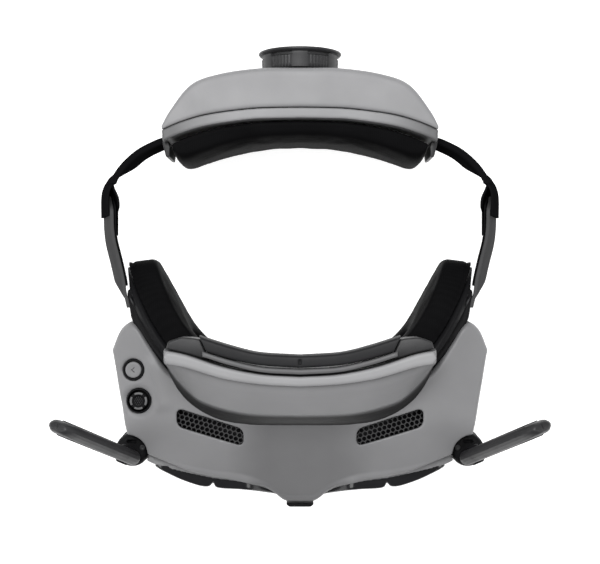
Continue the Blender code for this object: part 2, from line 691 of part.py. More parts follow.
CASE_REAR = [(0, 94.8), (18, 94.6), (36, 92.0), (48.3, 87.2), (57.3, 75.7), (61.0, 68.2)]
CASE_SEAM = [(0, 76.5), (12, 76.3), (23.4, 75.7), (40.5, 73.4), (52, 70.2), (60.6, 66.6)]
BAND_EDGE = [(0, 72.0), (12, 71.8), (23.5, 71.2), (40.7, 68.6), (52, 65.2), (60.2, 61.6)]


def slab(name, rear, front, low, high, look, shift=(0.0, 0.0)):
    """A solid between two plan curves."""
    back = mirror_path(curve(rear, 4))
    near = mirror_path(curve(front, 4))
    rings = []
    for b, f in zip(back, near):
        rings.append([(f[0], f[1] + shift[0], low), (b[0], b[1] + shift[1], low), (b[0], b[1] + shift[1], high),
                      (f[0], f[1] + shift[0], high)])
    return loft(name, rings, look)


def rear_unit():
    """The battery case behind the head, its pad, its cells and the dial that draws the band in."""
    case = slab("battery_case", CASE_REAR, CASE_SEAM, CASE_BOTTOM, CASE_TOP, "grey", (GAP, 0.0))
    hollow_rear = [(x * 0.955, y - 2.6) for x, y in CASE_REAR]
    hollow_seam = [(x * 0.955, y - 3.0) for x, y in CASE_SEAM]
    hollow = slab("cutter_case", hollow_rear, hollow_seam, CASE_BOTTOM + 2.2, CASE_TOP - 2.2, "black")
    shaft_hole = prism("cutter_shaft", circle(3.4, 20, (0, DIAL_Z)), 80.0, 110.0, "black", "Y")
    cut(case, hollow, shaft_hole)
    slab("case_band", CASE_SEAM, BAND_EDGE, CASE_BOTTOM, CASE_TOP, "light")
    button = (32.0, DIAL_Z)
    cut(case, prism("cutter_power", circle(5.0, 24, button), 84.0, 99.0, "black", "Y"))
    prism("power_button", circle(4.5, 24, button), 89.4, 93.6, "dark", "Y", (button[0], 91.0, button[1]))
    pad_rear = [(x * 0.93, y - 0.6) for x, y in BAND_EDGE]
    pad_front = [(0, 63.2), (12, 62.7), (23.5, 61.2), (36, 58.4), (46, 55.1), (53, 53.0)]
    slab("rear_pad", pad_rear, pad_front, 8.0, 54.0, "foam")

    count = 48
    rings = []
    for r, y, notch in ((2.6, 81.6, 0), (2.6, 95.4, 0), (DIAL_R, 95.4, 0), (DIAL_R, DIAL_FRONT, 0),
                        (FLANGE_R, DIAL_FRONT, 0.8), (FLANGE_R, 101.2, 0.8), (16.8, 103.4, 0), (14.6, DIAL_BACK, 0)):
        turns = [(2 * math.pi * k / count, r - notch * (k % 2)) for k in range(count)]
        rings.append([(q * math.cos(a), y, DIAL_Z + q * math.sin(a)) for a, q in turns])
    loft("dial", rings, "dark", (0, 100.0, DIAL_Z))
    tooth_drive()
    for label, side in SIDES.items():
        box(f"battery_cell_{label}", (side * 28.0, 81.8, 16.0), (32.0, 8.0, 16.0), "cell", 1.0)


def tooth_drive():
    """The dial's pinion and the two toothed racks, above and below it, that are the band's ends."""
    teeth = 10
    pitch = 2 * math.pi * PINION_R / teeth
    outline = []
    for k in range(teeth):
        for part, radius in ((-0.30, PINION_R - 0.9), (-0.12, PINION_R + 0.7), (0.12, PINION_R + 0.7),
                             (0.30, PINION_R - 0.9)):
            a = 2 * math.pi * (k + part) / teeth
            outline.append((radius * math.sin(a), DIAL_Z + radius * math.cos(a)))
    prism("dial_pinion", outline[::-1], 77.6, 81.2, "light", "Y", (0, 79.4, DIAL_Z))
    for label, side in SIDES.items():
        edge = []
        for k in range(-1, 9):
            for part, lift in ((0.20, 1.1), (0.38, -0.5), (0.62, -0.5), (0.80, 1.1)):
                edge.append(((k + part) * pitch * side, side * (PINION_R + lift)))
        far = edge[-1][0]
        near = edge[0][0]
        edge += [(far, side * (PINION_R + 3.4)), (near, side * (PINION_R + 3.4))]
        prism(f"rack_{label}", [(x, DIAL_Z + z) for x, z in edge], 77.8, 80.8, "black", "Y")


def main():
    clear_scene()
    front_body()
    brow()
    mask()
    fascia()
    cameras()
    vents()
    optics()
    electronics()
    controls()
    antennas()
    headband()
    rear_unit()


main()
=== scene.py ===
"""Looks of the head-worn video goggles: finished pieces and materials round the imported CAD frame.

Lengths here are millimetres and become metres where a mesh is made. The wearer looks along -Y, so
the wearer's right side is -X. Each finished piece is seated on the box of the CAD node that it
stands for.
"""

import json
import math

import bmesh
import bpy
from mathutils import Matrix, Vector
from mathutils.kdtree import KDTree


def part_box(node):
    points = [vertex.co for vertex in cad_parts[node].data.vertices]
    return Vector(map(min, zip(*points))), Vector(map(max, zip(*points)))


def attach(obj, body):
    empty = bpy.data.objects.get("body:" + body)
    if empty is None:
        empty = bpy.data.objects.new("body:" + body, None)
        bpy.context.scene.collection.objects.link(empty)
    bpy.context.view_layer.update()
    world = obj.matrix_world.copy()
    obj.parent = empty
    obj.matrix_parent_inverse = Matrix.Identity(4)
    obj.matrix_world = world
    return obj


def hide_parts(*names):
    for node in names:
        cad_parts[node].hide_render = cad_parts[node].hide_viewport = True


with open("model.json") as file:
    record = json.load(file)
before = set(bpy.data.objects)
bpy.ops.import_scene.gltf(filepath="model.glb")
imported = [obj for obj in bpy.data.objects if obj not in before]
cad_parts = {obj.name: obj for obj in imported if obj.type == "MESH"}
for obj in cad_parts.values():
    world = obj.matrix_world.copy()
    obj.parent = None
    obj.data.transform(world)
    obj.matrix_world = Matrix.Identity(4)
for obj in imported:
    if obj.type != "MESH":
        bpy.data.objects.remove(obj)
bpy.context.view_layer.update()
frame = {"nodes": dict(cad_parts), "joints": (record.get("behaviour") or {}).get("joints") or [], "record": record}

MM = 0.001
SIDES = {"right": -1, "left": 1}
VOXEL = 0.5     # grid that rounds the moulded pieces
CLOTH_GRID = 3.0                       # grid of the copy that the cloth simulation blows up
CLOTH_PRESSURE = 4.0
CLOTH_FRAMES = 20


# ---- places taken from the frame

def low_high(node):
    low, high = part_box(node)
    return Vector(low) / MM, Vector(high) / MM


def centre(node):
    low, high = low_high(node)
    return (low + high) / 2


def joint(name):
    return next(j for j in frame["joints"] if j["name"] == name)


HINGE = Vector(joint("antenna_right_fold")["pos_m"]) / MM
DIAL = centre("dial")
BACK_KEY = centre("back_button")
STICK = centre("stick_cap")
STICK_TOP = low_high("stick_ring")[1].z
BACK_TOP = low_high("back_button_ring")[1].z
GRILLE = centre("vent_grille_left")
GRILLE_TOP = low_high("vent_grille_left")[1].z
CAMERA = centre("camera_window_left")
BARREL = centre("lens_barrel_left")
KNOB = centre("diopter_knob_left")
BASE = centre("antenna_base_left")
BASE_LOW, BASE_HIGH = low_high("antenna_base_left")
CASE_LOW, CASE_HIGH = low_high("battery_case")
POWER = centre("power_button")
MASK_LOW, MASK_HIGH = low_high("face_foam")
MASK_Z = (MASK_LOW.z + MASK_HIGH.z) / 2
USB = centre("usb_socket")
CARD = centre("card_socket")


# ---- materials

class Graph:
    """A material's nodes, with the links written as calls."""

    def __init__(self, name):
        self.skin = bpy.data.materials.new(name)
        self.skin.use_nodes = True
        self.nodes = self.skin.node_tree.nodes
        self.links = self.skin.node_tree.links
        self.shader = self.nodes["Principled BSDF"]
        self.place = self.node("ShaderNodeTexCoord").outputs["Object"]

    def node(self, kind, **settings):
        made = self.nodes.new(kind)
        for key, value in settings.items():
            if key in made.inputs.keys():
                made.inputs[key].default_value = value
            else:
                setattr(made, key, value)
        return made

    def link(self, source, target):
        self.links.new(source, target)

    def set(self, **values):
        for key, value in values.items():
            self.shader.inputs[key.replace("_", " ")].default_value = value

    def noise(self, scale, detail=4.0, stretch=(1, 1, 1)):
        grid = self.node("ShaderNodeMapping")
        grid.inputs["Scale"].default_value = stretch
        self.link(self.place, grid.inputs["Vector"])
        made = self.node("ShaderNodeTexNoise", Scale=scale, Detail=detail)
        self.link(grid.outputs["Vector"], made.inputs["Vector"])
        return made.outputs["Fac"]

    def spread(self, fac, low, high, start=0.3, end=0.7):
        made = self.node("ShaderNodeMapRange")
        for key, value in (("From Min", start), ("From Max", end), ("To Min", low), ("To Max", high)):
            made.inputs[key].default_value = value
        self.link(fac, made.inputs["Value"])
        return made.outputs["Result"]

    def math(self, operation, a, b):
        made = self.node("ShaderNodeMath", operation=operation)
        self.link(a, made.inputs[0])
        if isinstance(b, (int, float)):
            made.inputs[1].default_value = b
        else:
            self.link(b, made.inputs[1])
        return made.outputs[0]

    def tint(self, fac, dark, light):
        ramp = self.node("ShaderNodeValToRGB")
        ramp.color_ramp.elements[0].color = (*dark, 1.0)
        ramp.color_ramp.elements[1].color = (*light, 1.0)
        self.link(fac, ramp.inputs["Fac"])
        return ramp.outputs["Color"]

    def bump(self, height, strength, distance):
        made = self.node("ShaderNodeBump")
        made.inputs["Strength"].default_value = strength
        made.inputs["Distance"].default_value = distance
        self.link(height, made.inputs["Height"])
        self.link(made.outputs["Normal"], self.shader.inputs["Normal"])


def shade(colour, factor):
    return tuple(min(1.0, c * factor) for c in colour)


def moulded(name, colour, roughness, grain=2400.0, depth=0.25, wear=1.25, coat=0.0, shine=0.5, fade=None):
    """Textured moulded plastic: fine grain, faint mottling, edges polished lighter by handling.

    fade = (height, bow, start, end, low, high) is painted shade: it multiplies the colour from low to high as the
    place's height * z + bow * x * x goes from start to end.
    """
    g = Graph(name)
    mottle = g.spread(g.noise(42.0, 3.0), 0.0, 1.0)
    edge = g.spread(g.node("ShaderNodeNewGeometry").outputs["Pointiness"], 0.0, 0.7, 0.52, 0.60)
    worn = g.math("MULTIPLY", edge, g.spread(g.noise(160.0), 0.3, 1.0))
    mix = g.math("ADD", g.math("MULTIPLY", mottle, 0.35), worn)
    skin = g.tint(mix, shade(colour, 0.95), shade(colour, wear))
    # Painted shade: the colour is multiplied darker by the place's height and its distance from x = 0.
    if fade:
        height, bow, start, end, low, high = fade
        axes = g.node("ShaderNodeSeparateXYZ")
        g.link(g.place, axes.inputs["Vector"])
        square = g.math("MULTIPLY", axes.outputs["X"], axes.outputs["X"])
        level = g.math("ADD", g.math("MULTIPLY", axes.outputs["Z"], height), g.math("MULTIPLY", square, bow))
        painted_shade_mix = g.node("ShaderNodeMix", data_type="RGBA", blend_type="MULTIPLY")
        painted_shade_mix.inputs["Factor"].default_value = 1.0
        g.link(skin, painted_shade_mix.inputs["A"])
        g.link(g.spread(level, low, high, start, end), painted_shade_mix.inputs["B"])
        skin = painted_shade_mix.outputs["Result"]
    g.link(skin, g.shader.inputs["Base Color"])
    fine = g.noise(grain, 3.0)
    rough = g.math("ADD", g.spread(g.noise(90.0), roughness - 0.05, roughness + 0.05),
                   g.spread(fine, -0.04, 0.04))
    g.link(rough, g.shader.inputs["Roughness"])
    g.bump(fine, depth, 0.00006)
    g.set(Coat_Weight=coat, Specular_IOR_Level=shine)
    return g.skin


def knit(name, colour, pitch=0.0009):
    """Fine knitted cover over foam: rows of stitches, fuzz and soft mottling."""
    g = Graph(name)
    rows = []
    for axis in ("X", "Z"):
        wave = g.node("ShaderNodeTexWave", wave_type="BANDS", bands_direction=axis, Scale=0.31 / pitch,
                      Distortion=1.2, Detail=2.0)
        wave.inputs["Detail Scale"].default_value = 3.0
        g.link(g.place, wave.inputs["Vector"])
        rows.append(wave.outputs["Fac"])
    weave = g.math("MULTIPLY", rows[0], rows[1])
    fuzz = g.noise(3200.0, 5.0)
    mottle = g.math("MULTIPLY", g.spread(g.noise(60.0), 0.0, 1.0), 0.5)
    mix = g.math("ADD", g.math("MULTIPLY", weave, 0.5), mottle)
    g.link(g.tint(mix, shade(colour, 0.75), shade(colour, 1.35)), g.shader.inputs["Base Color"])
    g.link(g.spread(fuzz, 0.50, 0.68), g.shader.inputs["Roughness"])
    g.bump(g.math("ADD", weave, g.math("MULTIPLY", fuzz, 0.4)), 0.25, 0.00008)
    g.set(Sheen_Weight=0.01, Sheen_Roughness=0.4, Specular_IOR_Level=0.01)
    return g.skin


def brushed(name, colour):
    g = Graph(name)
    lines = g.noise(900.0, 4.0, (1.0, 0.06, 1.0))
    g.link(g.tint(lines, shade(colour, 0.8), shade(colour, 1.1)), g.shader.inputs["Base Color"])
    g.link(g.spread(lines, 0.22, 0.40), g.shader.inputs["Roughness"])
    g.bump(lines, 0.15, 0.00003)
    g.set(Metallic=1.0)
    return g.skin


def lens_glass(name):
    g = Graph(name)
    g.link(g.spread(g.noise(300.0), 0.02, 0.06), g.shader.inputs["Roughness"])
    g.link(g.tint(g.noise(30.0), (0.80, 0.86, 0.90), (0.90, 0.92, 0.98)), g.shader.inputs["Base Color"])
    g.set(Transmission_Weight=0.9, IOR=1.5, Coat_Weight=0.5)
    return g.skin


def circuit(name):
    """Green solder mask with copper-coloured runs under it."""
    g = Graph(name)
    runs = g.node("ShaderNodeTexBrick", Scale=260.0)
    runs.inputs["Color1"].default_value = (0.012, 0.075, 0.035, 1)
    runs.inputs["Color2"].default_value = (0.018, 0.095, 0.045, 1)
    runs.inputs["Mortar"].default_value = (0.06, 0.17, 0.07, 1)
    g.link(g.place, runs.inputs["Vector"])
    g.link(runs.outputs["Color"], g.shader.inputs["Base Color"])
    g.link(g.spread(g.noise(200.0), 0.35, 0.5), g.shader.inputs["Roughness"])
    g.bump(runs.outputs["Fac"], 0.3, 0.00005)
    return g.skin


LOOKS = {
    "grey": moulded("grey", (0.158, 0.158, 0.162), 0.48, shine=0.30),
    "light": moulded("light", (0.225, 0.225, 0.23), 0.45, shine=0.3),
    "dark": moulded("dark", (0.016, 0.016, 0.017), 0.46, 2600.0, 0.35, 1.6, shine=0.3),
    "black": moulded("black", (0.0045, 0.0045, 0.005), 0.50, 1800.0, 0.3, 1.7, shine=0.07),
    "gloss": moulded("gloss", (0.006, 0.006, 0.007), 0.20, 700.0, 0.03, 1.5, 0.15, 0.3),
    "foam": knit("foam", (0.0035, 0.0035, 0.0038)),
    "steel": brushed("steel", (0.30, 0.30, 0.32)),
    "board": circuit("board"),
    "glass": lens_glass("glass"),
    "cell": moulded("cell", (0.04, 0.10, 0.26), 0.35, 500.0, 0.1, 1.2, 0.3),
    "lip": moulded("lip", (0.085, 0.085, 0.087), 0.48, shine=0.25),
    # Painted shade: the shell's colour darkens along the middle, where the ridge slopes down to the nose.
    "shell": moulded("shell", (0.165, 0.165, 0.169), 0.48, shine=0.30, fade=(0.0, 1.0, 0.0002, 0.0011, 0.72, 1.0)),
    # Painted shade: the brow's colour turns dark low on its front, the shade of the trench under the lip.
    "brow": moulded("brow", (0.175, 0.175, 0.179), 0.48, shine=0.28, fade=(1.0, 1.667, 0.0595, 0.0652, 0.08, 1.0)),
    # Painted shade: the band's colour darkens towards its sides.
    "band": moulded("band", (0.205, 0.205, 0.21), 0.45, shine=0.3, fade=(0.0, 1.0, 0.0009, 0.0032, 1.0, 0.42)),
    "case": moulded("case", (0.200, 0.200, 0.205), 0.46, shine=0.30),
    "strap": moulded("strap", (0.0045, 0.0045, 0.005), 0.55, 1500.0, 0.4, 1.5, shine=0.0),
    "arm": moulded("arm", (0.050, 0.050, 0.051), 0.50, shine=0.0),
    "web": moulded("web", (0.040, 0.040, 0.041), 0.50, shine=0.2),
    "pad_skin": moulded("pad_skin", (0.016, 0.016, 0.017), 0.50, 1500.0, 0.3, 1.2, shine=0.12),
    "iris": moulded("iris", (0.010, 0.011, 0.016), 0.08, 300.0, 0.02, 1.2, 1.0),
    "mark": moulded("mark", (0.05, 0.05, 0.052), 0.5),
}


# ---- mesh helpers

def put(name, data):
    """A new object in the scene, made of the data."""
    item = bpy.data.objects.new(name, data)
    bpy.context.scene.collection.objects.link(item)
    return item


def add(name, points, faces, look):
    """A new object from millimetre points, its normals made to agree."""
    mesh = bpy.data.meshes.new(name)
    mesh.from_pydata([tuple(c * MM for c in p) for p in points], [], faces)
    tidy = bmesh.new()
    tidy.from_mesh(mesh)
    bmesh.ops.remove_doubles(tidy, verts=tidy.verts, dist=0.000002)
    bmesh.ops.dissolve_degenerate(tidy, edges=tidy.edges, dist=0.000001)
    bmesh.ops.recalc_face_normals(tidy, faces=tidy.faces)
    tidy.to_mesh(mesh)
    tidy.free()
    mesh.materials.append(LOOKS[look])
    mesh.shade_smooth()
    return put(name, mesh)


def loft(name, rings, look, loop=False):
    """Skin a run of closed rings; the two ends are capped unless the run closes on itself."""
    n = len(rings[0])
    points = [tuple(p) for ring in rings for p in ring]
    faces = []
    for r in range(len(rings) if loop else len(rings) - 1):
        here, there = r * n, ((r + 1) % len(rings)) * n
        faces += [(here + i, here + (i + 1) % n, there + (i + 1) % n, there + i) for i in range(n)]
    if not loop:
        faces.append(tuple(range(n))[::-1])
        faces.append(tuple(range((len(rings) - 1) * n, len(rings) * n)))
    return add(name, points, faces, look)


def prism(name, outline, low, high, look, axis="Z"):
    """Extrude a flat outline along an axis."""
    place = {"Z": lambda a, b, h: (a, b, h), "Y": lambda a, b, h: (a, h, b), "X": lambda a, b, h: (h, a, b)}[axis]
    return loft(name, [[place(*p[:2], h) for p in outline] for h in (low, high)], look)


def tool(outline, low, high, axis="Z"):
    """A prism to cut with."""
    return prism("tool", outline, low, high, "black", axis)


def around(count, shift=0.0):
    """Angles shared evenly over a full turn."""
    return [2 * math.pi * (i + shift) / count for i in range(count)]


def bent(value, power):
    """The value raised to a power, its sign kept."""
    return math.copysign(abs(value) ** power, value)


def spinner(at, axis):
    """A function that places a radius, angle and height about an axis through at."""
    turn = Vector((0, 0, 1)).rotation_difference(Vector(axis)).to_matrix()
    return lambda r, a, h: Vector(at) + turn @ Vector((r * math.cos(a), r * math.sin(a), h))


def turned(name, profile, at, look, axis=(0, 0, 1), count=64, wobble=lambda a, h: 0.0):
    """Turn a profile of (radius, height) points about an axis; wobble changes a radius by angle and height."""
    spin = spinner(at, axis)
    return loft(name, [[spin(r + wobble(a, h), a, h) for a in around(count)] for r, h in profile], look)


def washer(name, profile, at, look, axis=(0, 0, 1), count=64):
    """Turn a closed profile of (radius, height) points into a ring."""
    spin = spinner(at, axis)
    return loft(name, [[spin(r, a, h) for r, h in profile] for a in around(count)], look, loop=True)


def rounded(width, height, radius, steps=5):
    """Outline of a rectangle with round corners, centred."""
    out = []
    for k, (sx, sy) in enumerate(((1, 1), (-1, 1), (-1, -1), (1, -1))):
        for i in range(steps + 1):
            a = math.radians(90 * k + 90 * i / steps)
            out.append((sx * (width / 2 - radius) + radius * math.cos(a),
                        sy * (height / 2 - radius) + radius * math.sin(a)))
    return out


def circle(radius, count=48, at=(0, 0)):
    return [(at[0] + radius * math.cos(a), at[1] + radius * math.sin(a)) for a in around(count)]


def curve(points, per_span=8, closed=False):
    """Catmull-Rom samples through the points, ends included."""
    pts = [Vector(p) for p in points]
    if closed:
        pts = [pts[-1]] + pts + [pts[0], pts[1]]
    else:
        pts = [2 * pts[0] - pts[1]] + pts + [2 * pts[-1] - pts[-2]]
    out = []
    for i in range(1, len(pts) - 2):
        a, b, c, d = pts[i - 1:i + 3]
        for k in range(per_span):
            t = k / per_span
            out.append(0.5 * (2 * b + (c - a) * t + (2 * a - 5 * b + 4 * c - d) * t ** 2
                              + (3 * b - a - 3 * c + d) * t ** 3))
    if not closed:
        out.append(pts[-2])
    return out


def mirror_path(half):
    """A path given from x = 0 outwards, completed from -X to +X."""
    return [Vector((-p[0], *p[1:])) for p in reversed(half[1:])] + [Vector(p) for p in half]


def along(table, value):
    """Read a table of (x, y) points at x = value, straight between its points."""
    if value <= table[0][0]:
        return table[0][1]
    for (x0, y0), (x1, y1) in zip(table, table[1:]):
        if value <= x1:
            return y0 + (y1 - y0) * (value - x0) / (x1 - x0)
    return table[-1][1]


def blend(low, high, value):
    t = min(max((value - low) / (high - low), 0.0), 1.0)
    return t * t * (3 - 2 * t)


def settle(item):
    """Turn an object's modifiers into its mesh."""
    view = bpy.context.evaluated_depsgraph_get()
    view.update()
    mesh = bpy.data.meshes.new_from_object(item.evaluated_get(view))
    item.modifiers.clear()
    old = item.data
    item.data = mesh
    bpy.data.meshes.remove(old)
    return item


def modify(item, kind, **settings):
    """Give an item a modifier with these settings."""
    made = item.modifiers.new(kind, kind)
    for key, value in settings.items():
        setattr(made, key, value)


def cut(item, knife, operation="DIFFERENCE", overlapping=True):
    """Cut an item with a closed knife, then drop the knife."""
    modify(item, "BOOLEAN", operation=operation, solver="EXACT", use_self=overlapping, object=knife)
    settle(item)
    bpy.data.objects.remove(knife, do_unlink=True)


def carve(item, cutters):
    """Cut closed cutters out of the item, then drop them."""
    whole = bpy.data.meshes.new("tool")
    merged = bmesh.new()
    for cutter in cutters:
        merged.from_mesh(cutter.data)
    merged.to_mesh(whole)
    merged.free()
    cut(item, put("tool", whole))
    for cutter in cutters:
        bpy.data.objects.remove(cutter, do_unlink=True)
    return item


def drop_crumbs(item):
    """Keep only the largest connected piece of a mesh."""
    whole = bmesh.new()
    whole.from_mesh(item.data)
    seen, groups = set(), []
    for start in whole.verts:
        if start in seen:
            continue
        seen.add(start)
        group, queue = [start], [start]
        while queue:
            for edge in queue.pop().link_edges:
                for vert in edge.verts:
                    if vert not in seen:
                        seen.add(vert)
                        group.append(vert)
                        queue.append(vert)
        groups.append(group)
    keep = max(groups, key=len)
    crumbs = [vert for group in groups if group is not keep for vert in group]
    bmesh.ops.delete(whole, geom=crumbs, context="VERTS")
    whole.to_mesh(item.data)
    whole.free()


def melt(item, voxel=VOXEL, smooth=6):
    """Re-mesh an item on a fine grid and relax it, which rounds every edge like a moulding."""
    modify(item, "REMESH", mode="VOXEL", voxel_size=voxel * MM)
    modify(item, "SMOOTH", factor=0.5, iterations=smooth)
    settle(item)
    drop_crumbs(item)
    item.data.shade_smooth()
    return item


def inflate(item, limit, held):
    """Blow a coarse copy of a pad up as cloth, held where it is mounted, and move the skin with it."""
    probe = put("probe", item.data.copy())
    modify(probe, "REMESH", mode="VOXEL", voxel_size=CLOTH_GRID * MM)
    settle(probe)
    start = [vert.co.copy() for vert in probe.data.vertices]
    pins = probe.vertex_groups.new(name="pins")
    pins.add([i for i, co in enumerate(start) if held(co / MM)], 1.0, "REPLACE")
    cloth = probe.modifiers.new("cloth", "CLOTH")
    cloth.settings.quality = 5
    cloth.settings.use_pressure = True
    cloth.settings.uniform_pressure_force = CLOTH_PRESSURE
    cloth.settings.effector_weights.gravity = 0.0
    cloth.settings.vertex_group_mass = "pins"
    cloth.point_cache.frame_end = CLOTH_FRAMES
    for number in range(1, CLOTH_FRAMES + 1):
        bpy.context.scene.frame_set(number)
    view = bpy.context.evaluated_depsgraph_get()
    blown = [vert.co.copy() for vert in probe.evaluated_get(view).data.vertices]
    bpy.context.scene.frame_set(1)
    tree = KDTree(len(start))
    for i, co in enumerate(start):
        tree.insert(co, i)
    tree.balance()
    moves = [after - before for before, after in zip(start, blown)]
    moves = [move * min(1.0, limit * MM / max(move.length, 1e-9)) for move in moves]
    skin = item.data
    normals = [vert.normal.copy() for vert in skin.vertices]
    for vert, normal in zip(skin.vertices, normals):
        near = tree.find_n(vert.co, 6)
        weights = [1.0 / (distance + 0.0005) for _, _, distance in near]
        move = sum((moves[i] * w for (_, i, _), w in zip(near, weights)), Vector()) / sum(weights)
        vert.co += move - normal * (0.5 * limit * MM)
    skin.update()
    bpy.data.objects.remove(probe, do_unlink=True)


def round_edges(item, width, segments=3):
    modify(item, "BEVEL", width=width * MM, segments=segments, limit_method="ANGLE",
           angle_limit=math.radians(30), harden_normals=False)
    settle(item)
    item.data.shade_smooth()
    item.data.set_sharp_from_angle(angle=math.radians(50))
    return item


def join(item, *others):
    """Put other items' meshes into the first one, with their materials."""
    merged = bmesh.new()
    merged.from_mesh(item.data)
    for other in others:
        slots = []
        for skin in other.data.materials:
            if skin.name not in [m.name for m in item.data.materials]:
                item.data.materials.append(skin)
            slots.append([m.name for m in item.data.materials].index(skin.name))
        start = len(merged.faces)
        merged.from_mesh(other.data)
        merged.faces.ensure_lookup_table()
        for face in merged.faces[start:]:
            face.material_index = slots[min(face.material_index, len(slots) - 1)]
        bpy.data.objects.remove(other, do_unlink=True)
    merged.to_mesh(item.data)
    merged.free()
    return item


def stand_for(item, body, slot, *nodes):
    """Ride on the body, and stand for the CAD nodes."""
    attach(item, body)
    if nodes:
        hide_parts(*nodes)
    return item


# ---- front body

FRONT_EDGE = [(0, -103.3), (7, -102.6), (13.6, -96.9), (24, -91.6), (40, -89), (54, -86), (68.6, -82),
              (75.5, -76), (78.6, -66), (81, -53), (83, -42), (85, -30)]
REAR_EDGE = [(0, -53), (12, -52.7), (24, -51.3), (36, -48.8), (46, -45.8), (54, -42), (60, -37.5),
             (64, -32), (68, -26), (74.5, -17.5), (80.5, -20.5), (85, -30)]
CORE_LINE = [(0, -75), (9, -74.5), (18, -72), (28, -69), (38, -66), (48, -62), (57, -58),
             (63, -54), (66, -48), (69, -42.5), (73, -37.8), (78, -34.4)]
EDGE_Z = 38.0
NOSE_Z = 18.0
SIDE_Z = 24.0
SEAM = 1.0                     # shown seam; the frame's own gap is wider
SHELL_ROLL, SHELL_DRAFT, WALL = 4.2, 0.7, 2.0
THROUGH = (30.0, 70.0)         # heights of a cut through the shell's top
BASE_BORE = 8.2                # radius of the hole for the antenna base
VENT_SLANT = math.radians(-17.5)
LOBE_CREASE = [(-69.5, -33.4), (-66.6, -39.4), (-64.5, -45.9), (-63.0, -53.0), (-63.6, -57.6)]


def shell_height(x, y):
    """Top of the grey shell: a ridge falling to the nose, flatter over the lobes."""
    ridge = 52.0 + min(0.0, y + 64.0) * 0.773
    lobe = 50.5 - 0.0135 * min(0.0, y + 60.0) ** 2 - 5.0 * max(0.0, (abs(x) - 55.0) / 30.0) ** 2
    return ridge + (lobe - ridge) * blend(4, 40, abs(x))


def shell_detail(x, y):
    """Finer relief: the dishes of the stick and the back button, and the crease inside the right lobe."""
    rise = -1.1 * (1 - blend(5.0, 8.2, math.hypot(x - STICK.x, y - STICK.y)))
    rise -= 0.35 * (1 - blend(4.6, 6.0, math.hypot(x - BACK_KEY.x, y - BACK_KEY.y)))
    if -74 < x < -50 and -60 < y < -30:
        edge = along([(-y0, x0) for x0, y0 in LOBE_CREASE], -y)
        fade = blend(-59, -54, y) * (1 - blend(-37, -32, y))
        rise += fade * 0.75 * blend(-0.7, 0.5, x - edge) * (1 - blend(1.0, 10.0, x - edge))
    return rise


def shell_floor(x, y):
    """Lower edge of the grey shell: high over the fascia, low at the nose and the lobes' sides."""
    middle = EDGE_Z
    if y < -60.0:
        middle = NOSE_Z + (EDGE_Z - NOSE_Z) * blend(6, 26, abs(x))
    return middle + (SIDE_Z - middle) * blend(62, 80, abs(x))


def cap(name, front, rear, core, top, foot, roll, draft, look, wall, inner=26):
    """A moulded cap: a straight wall, a round shoulder of radius roll, and a top drawn to the core line."""
    n = len(front)
    order = [(front[i], core[i], i) for i in range(n)]
    order += [(rear[i], core[i], i) for i in range(n - 2, 0, -1)]
    points, faces = [], []
    steps = [("wall", t) for t in (0.0, 0.5)] + [("roll", k / 7) for k in range(8)]
    steps += [("top", (k + 1) / (inner + 1)) for k in range(inner)]
    for kind, t in steps:
        for edge, mid, _ in order:
            reach = mid - edge
            length = max(reach.length, 0.001)
            toward = reach / length
            size = min(roll, length * 0.8)
            low = foot(*edge)
            crest = top(*(edge + toward * size))
            drop = math.copysign(min(size, abs(crest - low) * 0.85), crest - low)
            if kind == "wall":
                inward = draft * t
                z = low + (crest - drop - low) * t
            elif kind == "roll":
                inward = draft + (size - draft) * (1 - math.cos(math.pi / 2 * t))
                z = crest - drop + drop * math.sin(math.pi / 2 * t)
            else:
                inward = size + (length - size) * t
                z = top(*(edge + toward * inward))
            points.append((*(edge + toward * inward), z))
    m = len(order)
    crown = len(points)
    points += [(*c, top(*c)) for c in core]
    for k in range(len(steps) - 1):
        faces += [(k * m + i, k * m + (i + 1) % m, (k + 1) * m + (i + 1) % m, (k + 1) * m + i) for i in range(m)]
    last = (len(steps) - 1) * m
    for i in range(m):
        j = (i + 1) % m
        faces.append((last + i, last + j, crown + order[j][2], crown + order[i][2]))
    if not wall:
        faces.append(tuple(range(m))[::-1])
        return add(name, points, faces, look)
    item = add(name, points, faces, look)
    lean = sum(face.normal.z * face.area for face in item.data.polygons)
    if lean * (top(0, -70) - foot(0, -70)) < 0:
        item.data.flip_normals()
    modify(item, "SOLIDIFY", thickness=wall * MM, offset=-1.0)
    return settle(item)


def vent_outline(side, grow=0.0, steps=6):
    """The vent's slanted slot with round corners, in plan."""
    out = []
    for x, y in rounded(31.0 + 2 * grow, 7.8 + 2 * grow, 2.6 + grow, steps):
        lean = x + y * math.tan(VENT_SLANT)
        out.append((side * (GRILLE.x - (lean * math.cos(VENT_SLANT) - y * math.sin(VENT_SLANT))),
                    GRILLE.y + (lean * math.sin(VENT_SLANT) + y * math.cos(VENT_SLANT))))
    return out if side > 0 else out[::-1]


def window_cutter(side, radius=16.0, travel=4.5):
    """A cutter with round ends, long enough for the eyepiece's travel."""
    outline = [(side * BARREL.x + sx * travel + radius * math.cos(a), BARREL.z + radius * math.sin(a))
               for sx, start in ((1, -90), (-1, 90))
               for a in (math.radians(start + 180 * i / 20) for i in range(21))]
    return tool(outline, -62.0, -30.0, "Y")


def pocket_block(side, grow):
    """The room of the folded antenna at the shell's front corner, or a block that much larger."""
    grid = blade_frame(side, FOLD_UP)
    hub = Vector((-side * HINGE.x, HINGE.y, HINGE.z))
    rise = 1 if grid.col[1].z > 0 else -1
    points = [hub + grid @ Vector((reach, rise * width, depth))
              for reach in (-2.0, 62.0) for width in (-7.7 - grow, 30.0) for depth in (-4.1 - grow, 16.0)]
    faces = [(0, 1, 3, 2), (4, 6, 7, 5), (0, 4, 5, 1), (2, 3, 7, 6), (0, 2, 6, 4), (1, 5, 7, 3)]
    return add("tool_pocket", points, faces, "black")


